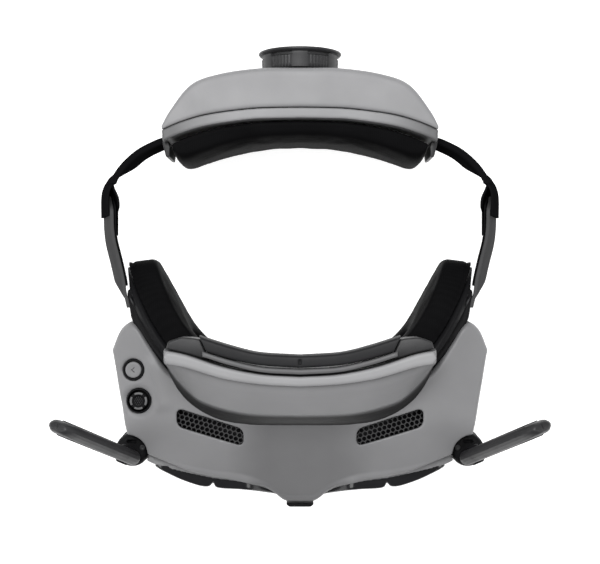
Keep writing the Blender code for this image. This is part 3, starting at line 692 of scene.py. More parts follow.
def brow_hole():
    half = curve([(0, -60.4), (20, -59.8), (33, -57.6), (44, -53.0), (52, -46.0), (57.5, -37.5)], 6)
    return tool([tuple(p) for p in mirror_path(half)] + [(60, -20), (-60, -20)], 44.3, 90.0)


def front_body():
    """The grey top moulding and the dark lower one, with their openings."""
    front, rear, core = (mirror_path(curve(line, 10)) for line in (FRONT_EDGE, REAR_EDGE, CORE_LINE))
    # The shell look paints shade: darker along the middle of the ridge.
    shell = cap("shell_grey", front, rear, core, lambda x, y: shell_height(x, y) + shell_detail(x, y),
                shell_floor, SHELL_ROLL, SHELL_DRAFT, "shell", WALL)
    tools = [brow_hole()]
    for side in SIDES.values():
        lining = cap("lining", front, rear, core, shell_height, shell_floor, SHELL_ROLL, SHELL_DRAFT, "shell", 0.0)
        cut(lining, pocket_block(side, 2.2), "INTERSECT", False)
        join(shell, lining)
        tools += [pocket_block(side, 0.0), tool(vent_outline(side), *THROUGH), window_cutter(side),
                  tool(circle(BASE_BORE, 48, (side * BASE.x, BASE.y)), -5.0, 90.0)]
    tools += [tool(circle(4.9, 48, BACK_KEY), *THROUGH), tool(circle(5.6, 48, STICK), *THROUGH)]
    carve(shell, tools)
    melt(shell, VOXEL, 5)
    stand_for(shell, "headset", "grey", "front_shell")

    front = [Vector((p[0], p[1] + 6.6 * (1 - blend(60, 74, abs(p[0]))))) for p in front]
    lower = cap("shell_lower", front, rear, core, lambda x, y: 0.0,
                lambda x, y: shell_floor(x, y) - SEAM, 9.0, 1.5, "dark", WALL, 10)
    tools = []
    for socket, x, size in ((USB, 75.0, (9.8, 4.0, 1.9)), (CARD, 77.0, (12.8, 3.0, 0.7))):
        tools.append(tool(rounded(*size), 0.0, 14.0, "X"))
        tools[-1].data.transform(Matrix.Translation(Vector((x, socket.y, socket.z)) * MM))
    for side in SIDES.values():
        slot = [(x + side * KNOB.x, y + KNOB.y) for x, y in rounded(24.0, 15.0, 7.4, 8)]
        tools += [window_cutter(side), tool(circle(BASE_BORE, 48, (side * BASE.x, BASE.y)), 10.0, 90.0),
                  tool(circle(6.4, 36, (side * CAMERA.x, CAMERA.z)), -100.0, -76.0, "Y"), tool(slot, -5.0, 5.0)]
    carve(lower, tools)
    melt(lower, VOXEL, 4)
    stand_for(lower, "headset", "dark", "lower_shell")


def grilles(pitch=2.25, web=0.20):
    """Honeycomb grilles under the vent openings, each with a back plate and a wall round it."""
    top, bottom = GRILLE_TOP + 1.6, GRILLE_TOP + 0.2
    outer_r, inner_r = pitch / math.sqrt(3), (pitch - 2 * web) / math.sqrt(3)
    for label, side in SIDES.items():
        outline = [Vector(p) for p in vent_outline(side, 0.9, 3)]

        def inside(x, y):
            signs = [(b - a).cross(Vector((x, y)) - a) for a, b in zip(outline, outline[1:] + outline[:1])]
            return all(s >= 0 for s in signs) or all(s <= 0 for s in signs)

        slant = VENT_SLANT * -side
        points, faces, edges, shared = [], [], {}, {}

        def pair(x, y):
            points.extend([(x, y, top), (x, y, bottom)])
            return len(points) - 2

        def corner(x, y):
            key = (round(x, 2), round(y, 2))
            if key not in shared:
                shared[key] = pair(x, y)
            return shared[key]

        for row in range(-6, 7):
            for col in range(-12, 13):
                u = pitch * (col + 0.5 * (row % 2))
                v = pitch * row * math.sqrt(3) / 2
                x = side * GRILLE.x + u * math.cos(slant) - v * math.sin(slant)
                y = GRILLE.y + u * math.sin(slant) + v * math.cos(slant)
                if not inside(x, y):
                    continue
                spokes = [math.pi / 6 + slant + math.pi / 3 * k for k in range(6)]
                rim = [corner(x + outer_r * math.cos(a), y + outer_r * math.sin(a)) for a in spokes]
                hole = [pair(x + inner_r * math.cos(a), y + inner_r * math.sin(a)) for a in spokes]
                for k in range(6):
                    j = (k + 1) % 6
                    faces.append((rim[k], rim[j], hole[j], hole[k]))
                    faces.append((rim[j] + 1, rim[k] + 1, hole[k] + 1, hole[j] + 1))
                    faces.append((hole[k], hole[j], hole[j] + 1, hole[k] + 1))
                    side_of_rim = (min(rim[k], rim[j]), max(rim[k], rim[j]))
                    edges[side_of_rim] = edges.get(side_of_rim, 0) + 1
        faces += [(a, b, b + 1, a + 1) for (a, b), uses in edges.items() if uses == 1]
        comb = add(f"grille_{label}", points, faces, "web")
        comb.data.shade_flat()
        floor = GRILLE_TOP - 1.1
        backing = prism("grille_back", vent_outline(side, 0.7), floor, GRILLE_TOP - 0.3, "black")
        wall = []
        for outside, within in zip(vent_outline(side, 1.7), vent_outline(side, 0.35)):
            crest = shell_height(*outside) - 1.0
            wall.append([(*outside, floor), (*outside, crest), (*within, crest), (*within, floor)])
        join(comb, backing, loft("grille_wall", wall, "black", loop=True))
        stand_for(comb, "headset", "dark", f"vent_grille_{label}")


# ---- brow

CREST = [(0, -44.5), (16.5, -43.6), (32.8, -41.1), (48.9, -36.4), (57.6, -34.9), (59.5, -34.6)]
RIM_BACK = [(0, -40.4), (16.5, -39.4), (32.8, -36.2), (48.9, -31.0), (57.6, -29.3), (59.5, -29.0)]
BULGE_LIP = [(0, -57.4), (19.6, -56.9), (30.8, -55.2), (42.6, -51.6), (48, -47.6), (53.5, -42.0), (57.6, -37.0),
             (59.5, -35.2)]
BULGE_FOOT = [(0, -64.3), (16, -64.2), (31.7, -62.8), (41, -59.6), (49, -54.4), (54, -48.8), (57.4, -42.6),
              (59.5, -37.2)]


def line_at(points, x, per_span=8):
    """The smooth line through the points, read at x."""
    return along([tuple(p) for p in curve(points, per_span)], x)


def brow():
    """The grey bulge over the eyes, a skirt round its foot, and the light rim on top."""
    rings = []
    xs = [60 * math.sin(math.pi / 2 * k / 44) for k in range(45)]
    xs[-1] = 59.4
    for x in xs:
        size = math.sqrt(max(0.0, 1 - max(0.0, (x - 56.9) / 2.7) ** 2))
        crest, back = line_at(CREST, x), line_at(RIM_BACK, x)
        lip, foot = line_at(BULGE_LIP, x), line_at(BULGE_FOOT, x)
        base = shell_height(x, foot) - 0.2
        top = base + (72.2 - base) * (0.1 + 0.9 * size)
        lip_z = base + (66.3 - 6.0 * (x / 60) ** 2 - base) * (0.1 + 0.9 * size)
        low = 47.0
        ring = [(back, low), (back, top - 3.0), (back, top), (crest, top - 0.1)]
        ring += [(crest + (lip - crest) * t, top + (lip_z - top) * (0.75 * t + 0.25 * t * t))
                 for t in (0.3, 0.6, 0.85)]
        ring.append((lip, lip_z))
        for t in (0.12, 0.28, 0.48, 0.70, 0.88, 1.0):
            fall = 1 - (1 - t) ** 1.9
            ring.append((lip + (foot - lip) * t, lip_z + (base - lip_z) * fall))
        ring += [(foot + 0.6, base - 1.2), (min(foot + 5.6, back - 0.4), base - 2.0),
                 (min(foot + 6.4, back - 0.2), low)]
        rings.append([(x, y, z) for y, z in ring])
    rings = [[(-p[0], p[1], p[2]) for p in ring] for ring in reversed(rings[1:])] + rings
    # The brow look paints the shade of the trench under the lip as a dark band low on the bulge's front.
    bulge = loft("brow_bulge", rings, "brow")
    melt(bulge, VOXEL, 7)
    stand_for(bulge, "headset", "grey", "brow_shell")

    low, high = low_high("brow_rim")
    spots = [57.8 * k / 60 for k in range(61)]
    outer, inner = (mirror_path([Vector((x, line_at(line, x))) for x in spots]) for line in (CREST, RIM_BACK))
    rings = []
    for a, b in zip(outer, inner):
        squeeze = 0.46 * (1 - math.sqrt(1 - max(0.0, (abs(a.x) - 55.9) / 1.9) ** 2))
        p, q = a.lerp(b, squeeze), b.lerp(a, squeeze)
        rings.append([(p.x, p.y, low.z - 1.2), (p.x, p.y, high.z - 1.0), (*p.lerp(q, 0.06), high.z - 0.3),
                      (*p.lerp(q, 0.22), high.z), (*p.lerp(q, 0.78), high.z - 0.1),
                      (*p.lerp(q, 0.94), high.z - 0.4), (q.x, q.y, high.z - 1.0), (q.x, q.y, low.z - 1.2)])
    rim = loft("brow_rim_light", rings, "light")
    melt(rim, min(VOXEL, 0.5) * 0.8, 3)
    stand_for(rim, "headset", "light", "brow_rim")


def pad_carrier():
    """The strip behind the rim, which widens into a dark shelf beside each end of the pad."""
    top = low_high("pad_carrier")[1].z
    rings = []
    for p in mirror_path(curve([(0, -38.6), (16.5, -37.6), (30.0, -34.6), (41.5, -31.0)], 8)):
        rings.append([(p.x, p.y - 0.8, 60.0), (p.x, p.y - 0.8, top - 0.4), (p.x, p.y - 0.4, top),
                      (p.x, p.y + 0.9, top), (p.x, p.y + 1.3, top - 0.4), (p.x, p.y + 1.3, 60.0)])
    strip = loft("pad_carrier_lip", rings, "lip")
    for side in SIDES.values():
        shelf = [(39.6, -31.6), (42.6, -24.6), (45.6, -24.0), (50.7, -23.6), (56.4, -25.4), (57.4, -28.6),
                 (48.9, -30.6), (40.6, -33.0)]
        wing = prism("shelf", [(side * x, y) for x, y in shelf], 58.0, top - 2.6, "dark")
        join(strip, round_edges(wing, 1.2, 4))
    stand_for(strip, "headset", "grey", "pad_carrier")


def brow_pad():
    """The forehead pad: crowned towards the head, with slanted ends and a moulded notch."""
    low, high = low_high("brow_pad")
    near = mirror_path(curve([(0, -31.3), (16.6, -30.3), (29.3, -27.4), (43.4, -22.9)], 10))
    far = mirror_path(curve([(0, -37.0), (16.0, -36.0), (28.5, -33.6), (39.8, -30.4)], 10))
    mid = (low.z + high.z) / 2
    half = (high.z - low.z) / 2
    rings = []
    for a, b in zip(near, far):
        ring = []
        for t in around(28):
            c, s = math.cos(t), math.sin(t)
            swell = 0.5 * (1 - abs(bent(s, 0.5))) * (1 if c < 0 else 0)
            p = a.lerp(b, 0.5 + 0.5 * bent(c, 0.42))
            ring.append((p.x, p.y + swell, mid + half * bent(s, 0.34)))
        rings.append(ring)
    pad = loft("forehead_pad", rings, "pad_skin")
    carve(pad, [tool([(x, y - 34.1) for x, y in rounded(1.1, 2.4, 0.5)], high.z - 1.2, high.z + 3)])
    melt(pad, VOXEL * 0.8, 4)
    inflate(pad, 0.5, lambda co: co.z < low.z + 1.0 or co.y < line_at(CREST, abs(co.x)) + 8.0)
    stand_for(pad, "headset", "foam", "brow_pad")


# ---- mask

FACE_DEPTH, FACE_RISE, FACE_HALF = -36.0, 43.0, 62.0
FOAM_EDGE, FOAM_THICK, FOAM_GAIN = 63.6, 12.0, 2.6
FRAME_FRONT = [(0, -52.4), (9.5, -52.2), (19, -51.4), (31, -49.2), (45, -45.0), (55, -36.6), (64.5, -26.5),
               (76.9, -6.0)]


def face_point(x, depth=0.0):
    """A point of the face curve at x, moved out of the face by depth."""
    side = -1.0 if x < 0 else 1.0
    u = abs(x)
    slope = 4 * FACE_RISE / FACE_HALF * (u / FACE_HALF) ** 3
    length = math.hypot(slope, 1.0)
    y = FACE_DEPTH + FACE_RISE * (u / FACE_HALF) ** 4
    return side * (u + depth * slope / length), y - depth / length


def mask_loop(half_width, half_height, notch, count=132):
    """The mask's outline on the face curve: x along the curve and z, with a nose notch below."""
    out = []
    for a in around(count, 0.5):
        c, s = math.cos(a), math.sin(a)
        x = half_width * bent(c, 0.50)
        z = MASK_Z + half_height * bent(s, 0.56)
        if s < 0:
            z += notch * math.exp(-(x / 12.0) ** 2)
        out.append((x, z))
    return out


def mask():
    """The foam round the face, its frame, and the mount at each temple."""
    outer = mask_loop(FOAM_EDGE, 26.5, 13.0)
    inner = mask_loop(47.0, 16.0, 8.0)
    section = [(0.0, 1.0, 0.0), (0.0, 0.5, 0.0), (0.01, 0.0, 3.4), (0.06, 0.0, 1.5), (0.18, 0.0, 0.5),
               (0.40, 0.0, 0.0), (0.62, 0.0, 0.2), (0.80, 0.0, 0.6), (0.92, 0.0, 1.0), (0.975, 0.0, 1.5),
               (1.0, 0.18, 0.6), (1.0, 0.80, 0.0), (0.975, 0.86, 0.0), (1.0, 0.92, 0.0), (1.0, 1.0, 0.0)]
    rings = []
    for (xo, zo), (xi, zi) in zip(outer, inner):
        thick = FOAM_THICK + FOAM_GAIN * (abs(xo) / FOAM_EDGE) ** 3
        ring = []
        for across, share, depth in section:
            x, z = xi + (xo - xi) * across, zi + (zo - zi) * across
            x += math.copysign(0.8 * share * (x / FOAM_EDGE) ** 6, x)
            ring.append((*face_point(x, thick * share + depth), z))
        rings.append(ring)
    foam = loft("face_foam_soft", rings, "foam", loop=True)
    melt(foam, VOXEL * 1.2, 8)
    inflate(foam, 0.9, lambda co: co.y < face_point(co.x)[1] - FOAM_THICK + 2.0 and abs(co.x) < 50.0)
    stand_for(foam, "headset", "foam", "face_foam")

    front = curve(FRAME_FRONT, 12)
    rings = []
    for (xo, zo), (xi, zi) in zip(outer, inner):
        deep = FOAM_THICK + FOAM_GAIN * (abs(xo) / FOAM_EDGE) ** 3 + 0.5
        near_o, near_i = face_point(xo, deep), face_point(xi, deep)
        far = []
        for x in (xo, xi):
            u = abs(x) / FOAM_EDGE * (len(front) - 1)
            k = min(int(u), len(front) - 2)
            p = front[k].lerp(front[k + 1], u - k)
            far.append((math.copysign(p[0], x), p[1]))
        rings.append([(*near_o, zo), (*near_i, zi), (*far[1], zi), (*far[0], zo)])
    parts = [loft("mask_frame", rings, "black", loop=True)]
    for side in SIDES.values():
        parts.append(temple_mount(side))
        for offset in (0.0, 1.5):
            ridge = [(-74.9, -5.4), (-69.6, -14.6), (-63.6, -22.2), (-58.6, -27.2), (-54.6, -30.4)]
            line = [Vector((-side * (x - offset * 0.8), y - offset * 0.8, 0)) for x, y in ridge]
            path = [Vector((p.x, p.y, 47.9 - offset * 0.3)) for p in curve(line, 6)]
            parts.append(rod("ridge", path, 0.42, "dark"))
    whole = join(parts[0], *parts[1:])
    stand_for(whole, "headset", "black", "face_frame")


def temple_mount(side):
    """The black plate between the lobe's inner edge and the foam, which carries the arm."""
    outer = curve([(77.0, -3.6), (77.2, -6.0), (76.2, -12.0), (75.0, -17.4), (70.6, -24.4), (65.8, -31.0),
                   (60.8, -37.2), (58.4, -40.4)], 5)
    inner = curve([(75.6, -3.0), (74.4, -5.0), (70.8, -11.6), (68.4, -15.4), (63.4, -22.6), (58.8, -27.6),
                   (54.4, -31.4), (52.6, -33.4)], 5)
    rings = []
    for a, b in zip(outer, inner):
        top = 47.6 + 2.0 * blend(-20, -36, a.y)
        ring = ((0.0, 27.0), (0.0, top - 1.6), (0.1, top - 0.4), (0.4, top - 0.9), (1.0, top), (1.0, 27.0))
        rings.append([(side * (a.x * (1 - t) + b.x * t), a.y * (1 - t) + b.y * t, z) for t, z in ring])
    plate = loft("mount", rings, "black")
    return melt(plate, VOXEL, 3)


def rod(name, path, radius, look, count=10):
    """A round rod along a path, its ends closed."""
    rings = []
    for i, p in enumerate(path):
        ahead = (path[min(i + 1, len(path) - 1)] - path[max(i - 1, 0)]).normalized()
        across = ahead.cross(Vector((0, 0, 1))).normalized()
        rise = across.cross(ahead)
        size = radius * (0.3 if i in (0, len(path) - 1) else 1.0)
        rings.append([p + across * size * math.cos(a) + rise * size * math.sin(a) for a in around(count)])
    return loft(name, rings, look)


# ---- fascia and cameras

FASCIA_LINE = [(0, -101.9), (7, -101.2), (14, -98.4), (24, -95.0), (37.4, -93.9), (39.3, -91.2), (41.4, -93.2),
               (46, -92.9), (54, -90.2), (60, -87.4), (66, -84.4)]


def fascia():
    """The glossy black front, its camera openings and bezels, and the trim over the nose."""
    rings = []
    for p in mirror_path(curve(FASCIA_LINE, 8)):
        top = shell_floor(p.x, -90) - 0.5
        bottom = 7.0
        ledge = 2.6 + 5.4 * blend(12, 24, abs(p.x))
        section = ((2.4, bottom), (0.9, bottom + 0.6), (0.15, bottom + 2.4), (0.0, bottom + 4.0),
                   (0.0, top - 2.4), (0.3, top - 0.8), (0.9, top - 0.4), (ledge, top), (ledge, top - 1.8),
                   (2.4, top - 1.9))
        rings.append([(p.x, p.y + back, z) for back, z in section])
    plate = loft("fascia_black", rings, "gloss")
    carve(plate, [tool(circle(7.4, 48, (side * CAMERA.x, CAMERA.z)), -110.0, -80.0, "Y")
                  for side in SIDES.values()])
    melt(plate, VOXEL, 3)
    stand_for(plate, "headset", "gloss", "front_fascia")

    low, high = low_high("nose_trim")
    outline = [(-6.6, high.y), (6.6, high.y), (5.0, low.y), (-5.0, low.y)]
    trim = round_edges(prism("nose_trim_black", outline, low.z, high.z, "black"), 0.5, 3)
    stand_for(trim, "headset", "black", "nose_trim")

    for label, side in SIDES.items():
        spot = (side * CAMERA.x, low_high(f"camera_window_{label}")[1].y, CAMERA.z)
        ahead = (0, -1, 0)
        window = turned(f"camera_eye_{label}", [(7.0, 0.0), (7.0, 1.2), (6.6, 1.6), (6.0, 1.5), (5.6, 1.0)],
                        spot, "gloss", ahead)
        bezel = washer("bezel", [(5.7, 1.0), (6.3, 1.75), (6.9, 1.75), (7.1, 1.2), (6.6, 0.8)], spot, "dark", ahead)
        iris = turned("iris", [(4.6, 0.9), (4.4, 1.25), (3.0, 1.7), (1.4, 1.95)], spot, "iris", ahead)
        join(window, bezel, iris)
        stand_for(window, "headset", "gloss", f"camera_window_{label}")


# ---- controls

def arc_pad(at, inner, outer, start, end, low, high, look):
    """A raised arc segment."""
    steps = 10
    turns = [math.radians(start + (end - start) * k / steps) for k in range(steps + 1)]
    outline = [(at.x + outer * math.cos(a), at.y + outer * math.sin(a)) for a in turns]
    outline += [(at.x + inner * math.cos(a), at.y + inner * math.sin(a)) for a in reversed(turns)]
    return round_edges(prism("arc", outline, low, high, look), 0.12, 2)


def controls():
    """The back button and the five-way stick on the right lobe."""
    spot = (BACK_KEY.x, BACK_KEY.y, BACK_TOP)
    ring = washer("back_ring", [(3.85, -3.6), (3.85, -0.1), (4.05, 0.15), (4.5, 0.2), (4.75, -0.1), (4.75, -3.6)],
                  spot, "black")
    stand_for(ring, "headset", "black", "back_button_ring")
    crown = low_high("back_button")[1].z
    spot = (BACK_KEY.x, BACK_KEY.y, crown)
    key = turned("back_key_cap", [(3.6, -3.4), (3.6, -0.5), (3.4, -0.12), (3.0, 0), (1.8, -0.16), (0.6, -0.2)],
                 spot, "grey")
    for turn in (1, -1):
        bar = [(x * math.cos(0.7) - y * math.sin(0.7) * turn, x * math.sin(0.7) * turn + y * math.cos(0.7))
               for x, y in rounded(1.9, 0.36, 0.17)]
        join(key, prism("chevron", [(BACK_KEY.x - 0.2 + x, BACK_KEY.y + y + 0.5 * turn) for x, y in bar],
                        crown - 0.4, crown - 0.06, "mark"))
    stand_for(key, "back_key", "grey", "back_button")

    spot = (STICK.x, STICK.y, STICK_TOP)
    ring = washer("stick_well", [(4.9, -4.8), (4.9, -0.2), (5.05, 0), (5.3, 0), (5.5, -0.3), (5.5, -4.8)],
                  spot, "black")
    join(ring, washer("boot", [(1.6, -5.0), (1.6, -4.5), (4.8, -4.3), (4.8, -4.8)], spot, "black"))
    stand_for(ring, "headset", "black", "stick_ring")
    low, high = low_high("stick_cap")
    base, crown = low.z - high.z, high.z
    stick = turned("stick_top", [(2.0, base), (3.5, base + 0.5), (3.95, -1.2), (3.9, -0.5), (3.5, -0.12), (2.7, -0.2),
                                 (2.5, -0.65), (1.2, -0.5), (0.4, -0.45)], (STICK.x, STICK.y, crown), "black")
    for k in range(4):
        join(stick, arc_pad(STICK, 2.95, 3.85, 90 * k - 31, 90 * k + 31, crown - 0.9, crown + 0.02, "lip"))
    dots = [(0.0, 0.0)] + circle(0.85, 6) + circle(1.7, 12)
    for x, y in dots:
        join(stick, turned("dot", [(0.27, -0.8), (0.24, -0.3), (0.10, -0.18)], (STICK.x + x, STICK.y + y, crown),
                           "dark", count=10))
    stand_for(stick, "stick_key", "dark", "stick_cap")


# ---- antennas

BLADE_UP = Vector((-0.314, 0.307, 0.896)).normalized()
BLADE_FACE = Vector((-0.375, -0.910, 0.180)).normalized()
FOLD_UP = Vector((0.92, -0.359, 0.10)).normalized()
# reach from the hinge, width, thickness
BLADE_STATIONS = [(-6.6, 5.0, 4.4), (-5.4, 9.4, 6.0), (-2.5, 12.6, 6.6), (6.0, 13.4, 6.6), (12.0, 12.8, 6.6),
                  (34.0, 12.9, 6.2), (52.0, 13.0, 5.9), (57.5, 12.2, 5.6), (60.4, 10.4, 4.8), (61.7, 7.8, 3.6),
                  (62.0, 5.0, 2.4)]


def blade_frame(side, up):
    """Axes of a blade: length, width and face as the columns of a rotation."""
    length = Vector((-up.x * side, up.y, up.z))
    normal = Vector((-BLADE_FACE.x * side, BLADE_FACE.y, BLADE_FACE.z))
    normal = (normal - length * normal.dot(length)).normalized()
    return Matrix((length, normal.cross(length), normal)).transposed()


def antennas():
    """Folding blades with ridged edges, on round bases with a slot and a screw."""
    for label, side in SIDES.items():
        grid = blade_frame(side, BLADE_UP)
        hub = Vector((-side * HINGE.x, HINGE.y, HINGE.z))
        rings = []
        for reach, width, thick in curve(BLADE_STATIONS, 5):
            w, t = width / 2, thick / 2
            half = [(w, 0.0), (w - 0.35, t * 0.42), (w - 1.5, t * 0.86), (w - 2.6, t), (0.0, t)]
            outline = half + [(-x, y) for x, y in reversed(half[:-1])]
            outline += [(x, -y) for x, y in reversed(outline[1:-1])]
            rings.append([hub + grid @ Vector((reach, x, y)) for x, y in outline])
        blade = loft(f"antenna_blade_skin_{label}", rings, "dark")
        blade.data.set_sharp_from_angle(angle=math.radians(24))
        for face in (1, -1):
            panel = [(x + 33.0, y) for x, y in rounded(45.0, 7.6, 2.0)]
            rings = [[hub + grid @ Vector((x, y, face * h)) for x, y in panel] for h in (2.4, 3.28)]
            join(blade, round_edges(loft("panel", rings, "black"), 0.25, 2))
        axis = Vector(joint(f"antenna_{label}_fold")["axis"]).normalized()
        join(blade, turned("barrel", [(2.2, -4.2), (3.0, -3.8), (3.0, 3.8), (2.2, 4.2)], hub, "black", axis, 40))
        stand_for(blade, f"antenna_blade_{label}", "dark", f"antenna_{label}")

        x, y = side * BASE.x, BASE.y
        low, high = BASE_LOW.z, BASE_HIGH.z
        profile = [(6.2, low), (7.4, low + 1.0), (7.6, low + 2.4), (7.6, high - 2.6), (7.2, high - 1.2),
                   (6.2, high - 0.3), (5.0, high), (3.0, high - 0.2)]
        base = turned(f"antenna_foot_{label}", profile, (x, y, 0), "black", count=72)
        slot = [(x + a, y + 3.9 + b) for a, b in rounded(4.6, 1.7, 0.8)]
        carve(base, [tool(slot, high - 1.8, high + 3.0)])
        inboard = Vector((-side, 0.25, 0)).normalized()
        spot = Vector((x, y, high - 0.9)) + inboard * 5.0
        screw = turned("screw", [(1.3, -0.4), (1.3, 0.9), (1.0, 1.2), (0.5, 1.0)], spot, "dark")
        collar = washer("collar", [(7.55, 6.0), (8.0, 6.4), (8.0, 7.6), (7.55, 8.0)], (x, y, low), "dark")
        join(base, screw, collar)
        stand_for(base, "headset", "black", f"antenna_base_{label}")


# ---- headband

ARM_TOP = [(77.2, -11.5), (78.0, -8.0), (78.8, -5.0), (79.6, 1.0), (81.6, 10.0), (83.6, 18.0), (84.4, 24.0),
           (84.6, 31.0), (84.6, 38.7)]
BAND_TOP = [(81.2, 21.0), (81.2, 30.0), (81.3, 37.0), (83.6, 43.0), (82.8, 47.0), (78.5, 53.2), (71.7, 59.2),
            (64.0, 63.2), (60.0, 64.6)]
TAB_TOP = [(85.9, 29.6), (85.9, 39.0), (84.6, 43.0), (82.9, 46.4)]
ARM_LEAN = 6.7
ARM_HIGH, ARM_LOW = 48.0, 24.0


def leaning_plate(name, path, thick, side, look, lean_at, low=ARM_LOW, high=lambda y: ARM_HIGH, bevel=0.3):
    """A thin upright plate along its outer top edge; its lower edge stands further out."""
    rings = []
    for i, p in enumerate(path):
        ahead = path[min(i + 1, len(path) - 1)] - path[max(i - 1, 0)]
        across = Vector((abs(ahead.y), -ahead.x * math.copysign(1, ahead.y))).normalized()
        top = high(p.y)
        tilt = lean_at(p.y) / (ARM_HIGH - ARM_LOW)
        section = ((0, low), (-thick, low), (-thick, top - bevel), (-thick + bevel, top), (-bevel, top),
                   (0, top - bevel))
        ring = []
        for x, z in section:
            reach = x + tilt * (ARM_HIGH - z)
            ring.append((side * (p.x + across.x * reach), p.y + across.y * reach, z))
        rings.append(ring)
    item = loft(name, rings, look)
    item.data.set_sharp_from_angle(angle=math.radians(35))
    return item


def shifted(path, offset):
    return [Vector((p[0] + offset, p[1])) for p in path]


def arm_lean(y):
    return 1.5 + (ARM_LEAN - 1.5) * blend(-13, 3, y)


def strap_lean(y):
    return ARM_LEAN * (1 - blend(42.0, 56.0, y))


def headband():
    """The arms with their liners, and the straps with their tabs and covers."""
    arm_path = curve(ARM_TOP, 8)
    for label, side in SIDES.items():
        arm = leaning_plate(f"arm_grey_{label}", arm_path, 1.6, side, "arm", arm_lean,
                            high=lambda y: ARM_HIGH - 9.0 * blend(31.0, 38.7, y))
        stand_for(arm, "headset", "grey", f"arm_{label}")
        liner_path = [p for p in shifted(arm_path, -1.95) if p.y > -2.0]
        liner = leaning_plate(f"arm_liner_black_{label}", liner_path, 0.6, side, "strap", arm_lean, 25.0,
                              lambda y: ARM_HIGH + 0.4 - 9.0 * blend(33.0, 38.7, y), 0.15)
        stand_for(liner, "headset", "black", f"arm_liner_{label}")

        band_path = curve(BAND_TOP, 8)
        band = leaning_plate(f"strap_black_{label}", band_path, 1.0, side, "strap", strap_lean, 25.6,
                             lambda y: 42.5 + 4.0 * blend(31.6, 33.4, y))
        tab = leaning_plate("tab", curve(TAB_TOP, 6), 1.0, side, "strap", strap_lean, 25.0, lambda y: 47.2)
        outer = [p for p in shifted(band_path, 0.9) if p.y > 44.0]
        cover = leaning_plate("cover", outer, 3.0, side, "strap", strap_lean, 27.4, lambda y: 48.0, 0.6)
        join(band, tab, cover)
        stand_for(band, "rear_unit", "black", f"strap_{label}")


# ---- rear unit

CASE_REAR = [(0, 94.8), (18, 94.6), (36, 92.0), (48.3, 87.2), (57.3, 75.7), (61.0, 68.2)]
CASE_SEAM = [(0, 76.5), (12, 76.3), (23.4, 75.7), (40.5, 73.4), (52, 70.2), (60.6, 66.6)]
BAND_EDGE = [(0, 72.0), (12, 71.8), (23.5, 71.2), (40.7, 68.6), (52, 65.2), (60.2, 61.6)]
PAD_FRONT = [(0, 63.2), (12, 62.7), (23.5, 61.2), (36, 58.0), (44, 55.0), (49.5, 52.7), (53.4, 52.6), (56.0, 55.2),
             (57.2, 59.6)]


def pillow(name, back, near, low, high, look, square_back, square_near, count=40):
    """A solid between two plan curves whose sections are rounded; the powers say how square each side is."""
    mid, half = (low + high) / 2, (high - low) / 2
    rings = []
    for b, f in zip(back, near):
        axis = f.lerp(b, 0.5)
        ring = []
        for t in around(count, 0.5):
            c, s = math.cos(t), math.sin(t)
            end, power = (b, square_back) if c > 0 else (f, square_near)
            spot = axis.lerp(end, abs(c) ** (2 / power))
            ring.append((spot.x, spot.y, mid + half * bent(s, 2 / power)))
        rings.append(ring)
    return loft(name, rings, look)


def resample(path, count):
    """The path again, with that many points evenly shared over its own ones."""
    out = []
    for k in range(count):
        u = k * (len(path) - 1) / (count - 1)
        i = min(int(u), len(path) - 2)
        out.append(path[i].lerp(path[i + 1], u - i))
    return out


def rear_unit():
    """The battery case behind the head, its pad and the dial that draws the band in."""
    span = 10
    back, seam, edge = (mirror_path(curve(line, span)) for line in (CASE_REAR, CASE_SEAM, BAND_EDGE))
    front = mirror_path(resample(curve(PAD_FRONT, span), len(curve(BAND_EDGE, span))))

    case = pillow("case_grey", back, [Vector((p.x, p.y + 0.25)) for p in seam], CASE_LOW.z, CASE_HIGH.z,
                  "case", 9.0, 30.0)
    tools = [tool(circle(5.0, 40, (POWER.x, POWER.z)), 84.0, 99.0, "Y"),
             tool(circle(3.4, 32, (DIAL.x, DIAL.z)), 74.0, 110.0, "Y"),
             pillow("tool", [Vector((p.x * 0.955, p.y - 2.8)) for p in back],
                    [Vector((p.x * 0.955, p.y - 4.0)) for p in seam], CASE_LOW.z + 2.4, CASE_HIGH.z - 2.4,
                    "grey", 9.0, 30.0)]
    carve(case, tools)
    melt(case, VOXEL * 1.2, 5)
    stand_for(case, "rear_unit", "grey", "battery_case")

    # The band look paints shade: darker towards the band's sides.
    band = pillow("case_band_light", seam, edge, CASE_LOW.z + 0.1, CASE_HIGH.z - 0.1, "band", 40.0, 40.0)
    melt(band, VOXEL, 2)
    for side in SIDES.values():
        guide = [(59.6, 66.2), (61.4, 65.6), (61.0, 61.0), (59.6, 55.6), (58.0, 55.4), (57.6, 60.0)]
        piece = prism("guide", [(side * x, y) for x, y in guide], 24.0, 50.0, "dark")
        join(band, round_edges(piece, 0.5, 3))
    stand_for(band, "rear_unit", "light", "case_band")

    low, high = low_high("rear_pad")
    pad_back = [Vector((p.x * 0.95, p.y - 0.3)) for p in edge]
    pad = pillow("rear_pad_soft", pad_back, front, low.z - 2.0, high.z + 1.0, "foam", 12.0, 3.6)
    melt(pad, VOXEL * 1.3, 8)
    inflate(pad, 1.2, lambda co: co.y > line_at(BAND_EDGE, abs(co.x)) - 3.5)
    stand_for(pad, "rear_unit", "foam", "rear_pad")

    spot = (POWER.x, low_high("power_button")[0].y, POWER.z)
    key = turned("power_key_cap", [(4.5, 0.0), (4.5, 3.6), (4.2, 4.1), (3.4, 4.2), (2.6, 3.9), (1.2, 3.8)],
                 spot, "dark", (0, 1, 0))
    join(key, washer("halo", [(2.7, 3.86), (2.75, 4.06), (3.2, 4.2), (3.3, 4.0)], spot, "lip", (0, 1, 0)))
    stand_for(key, "power_key", "dark", "power_button")
    dial()


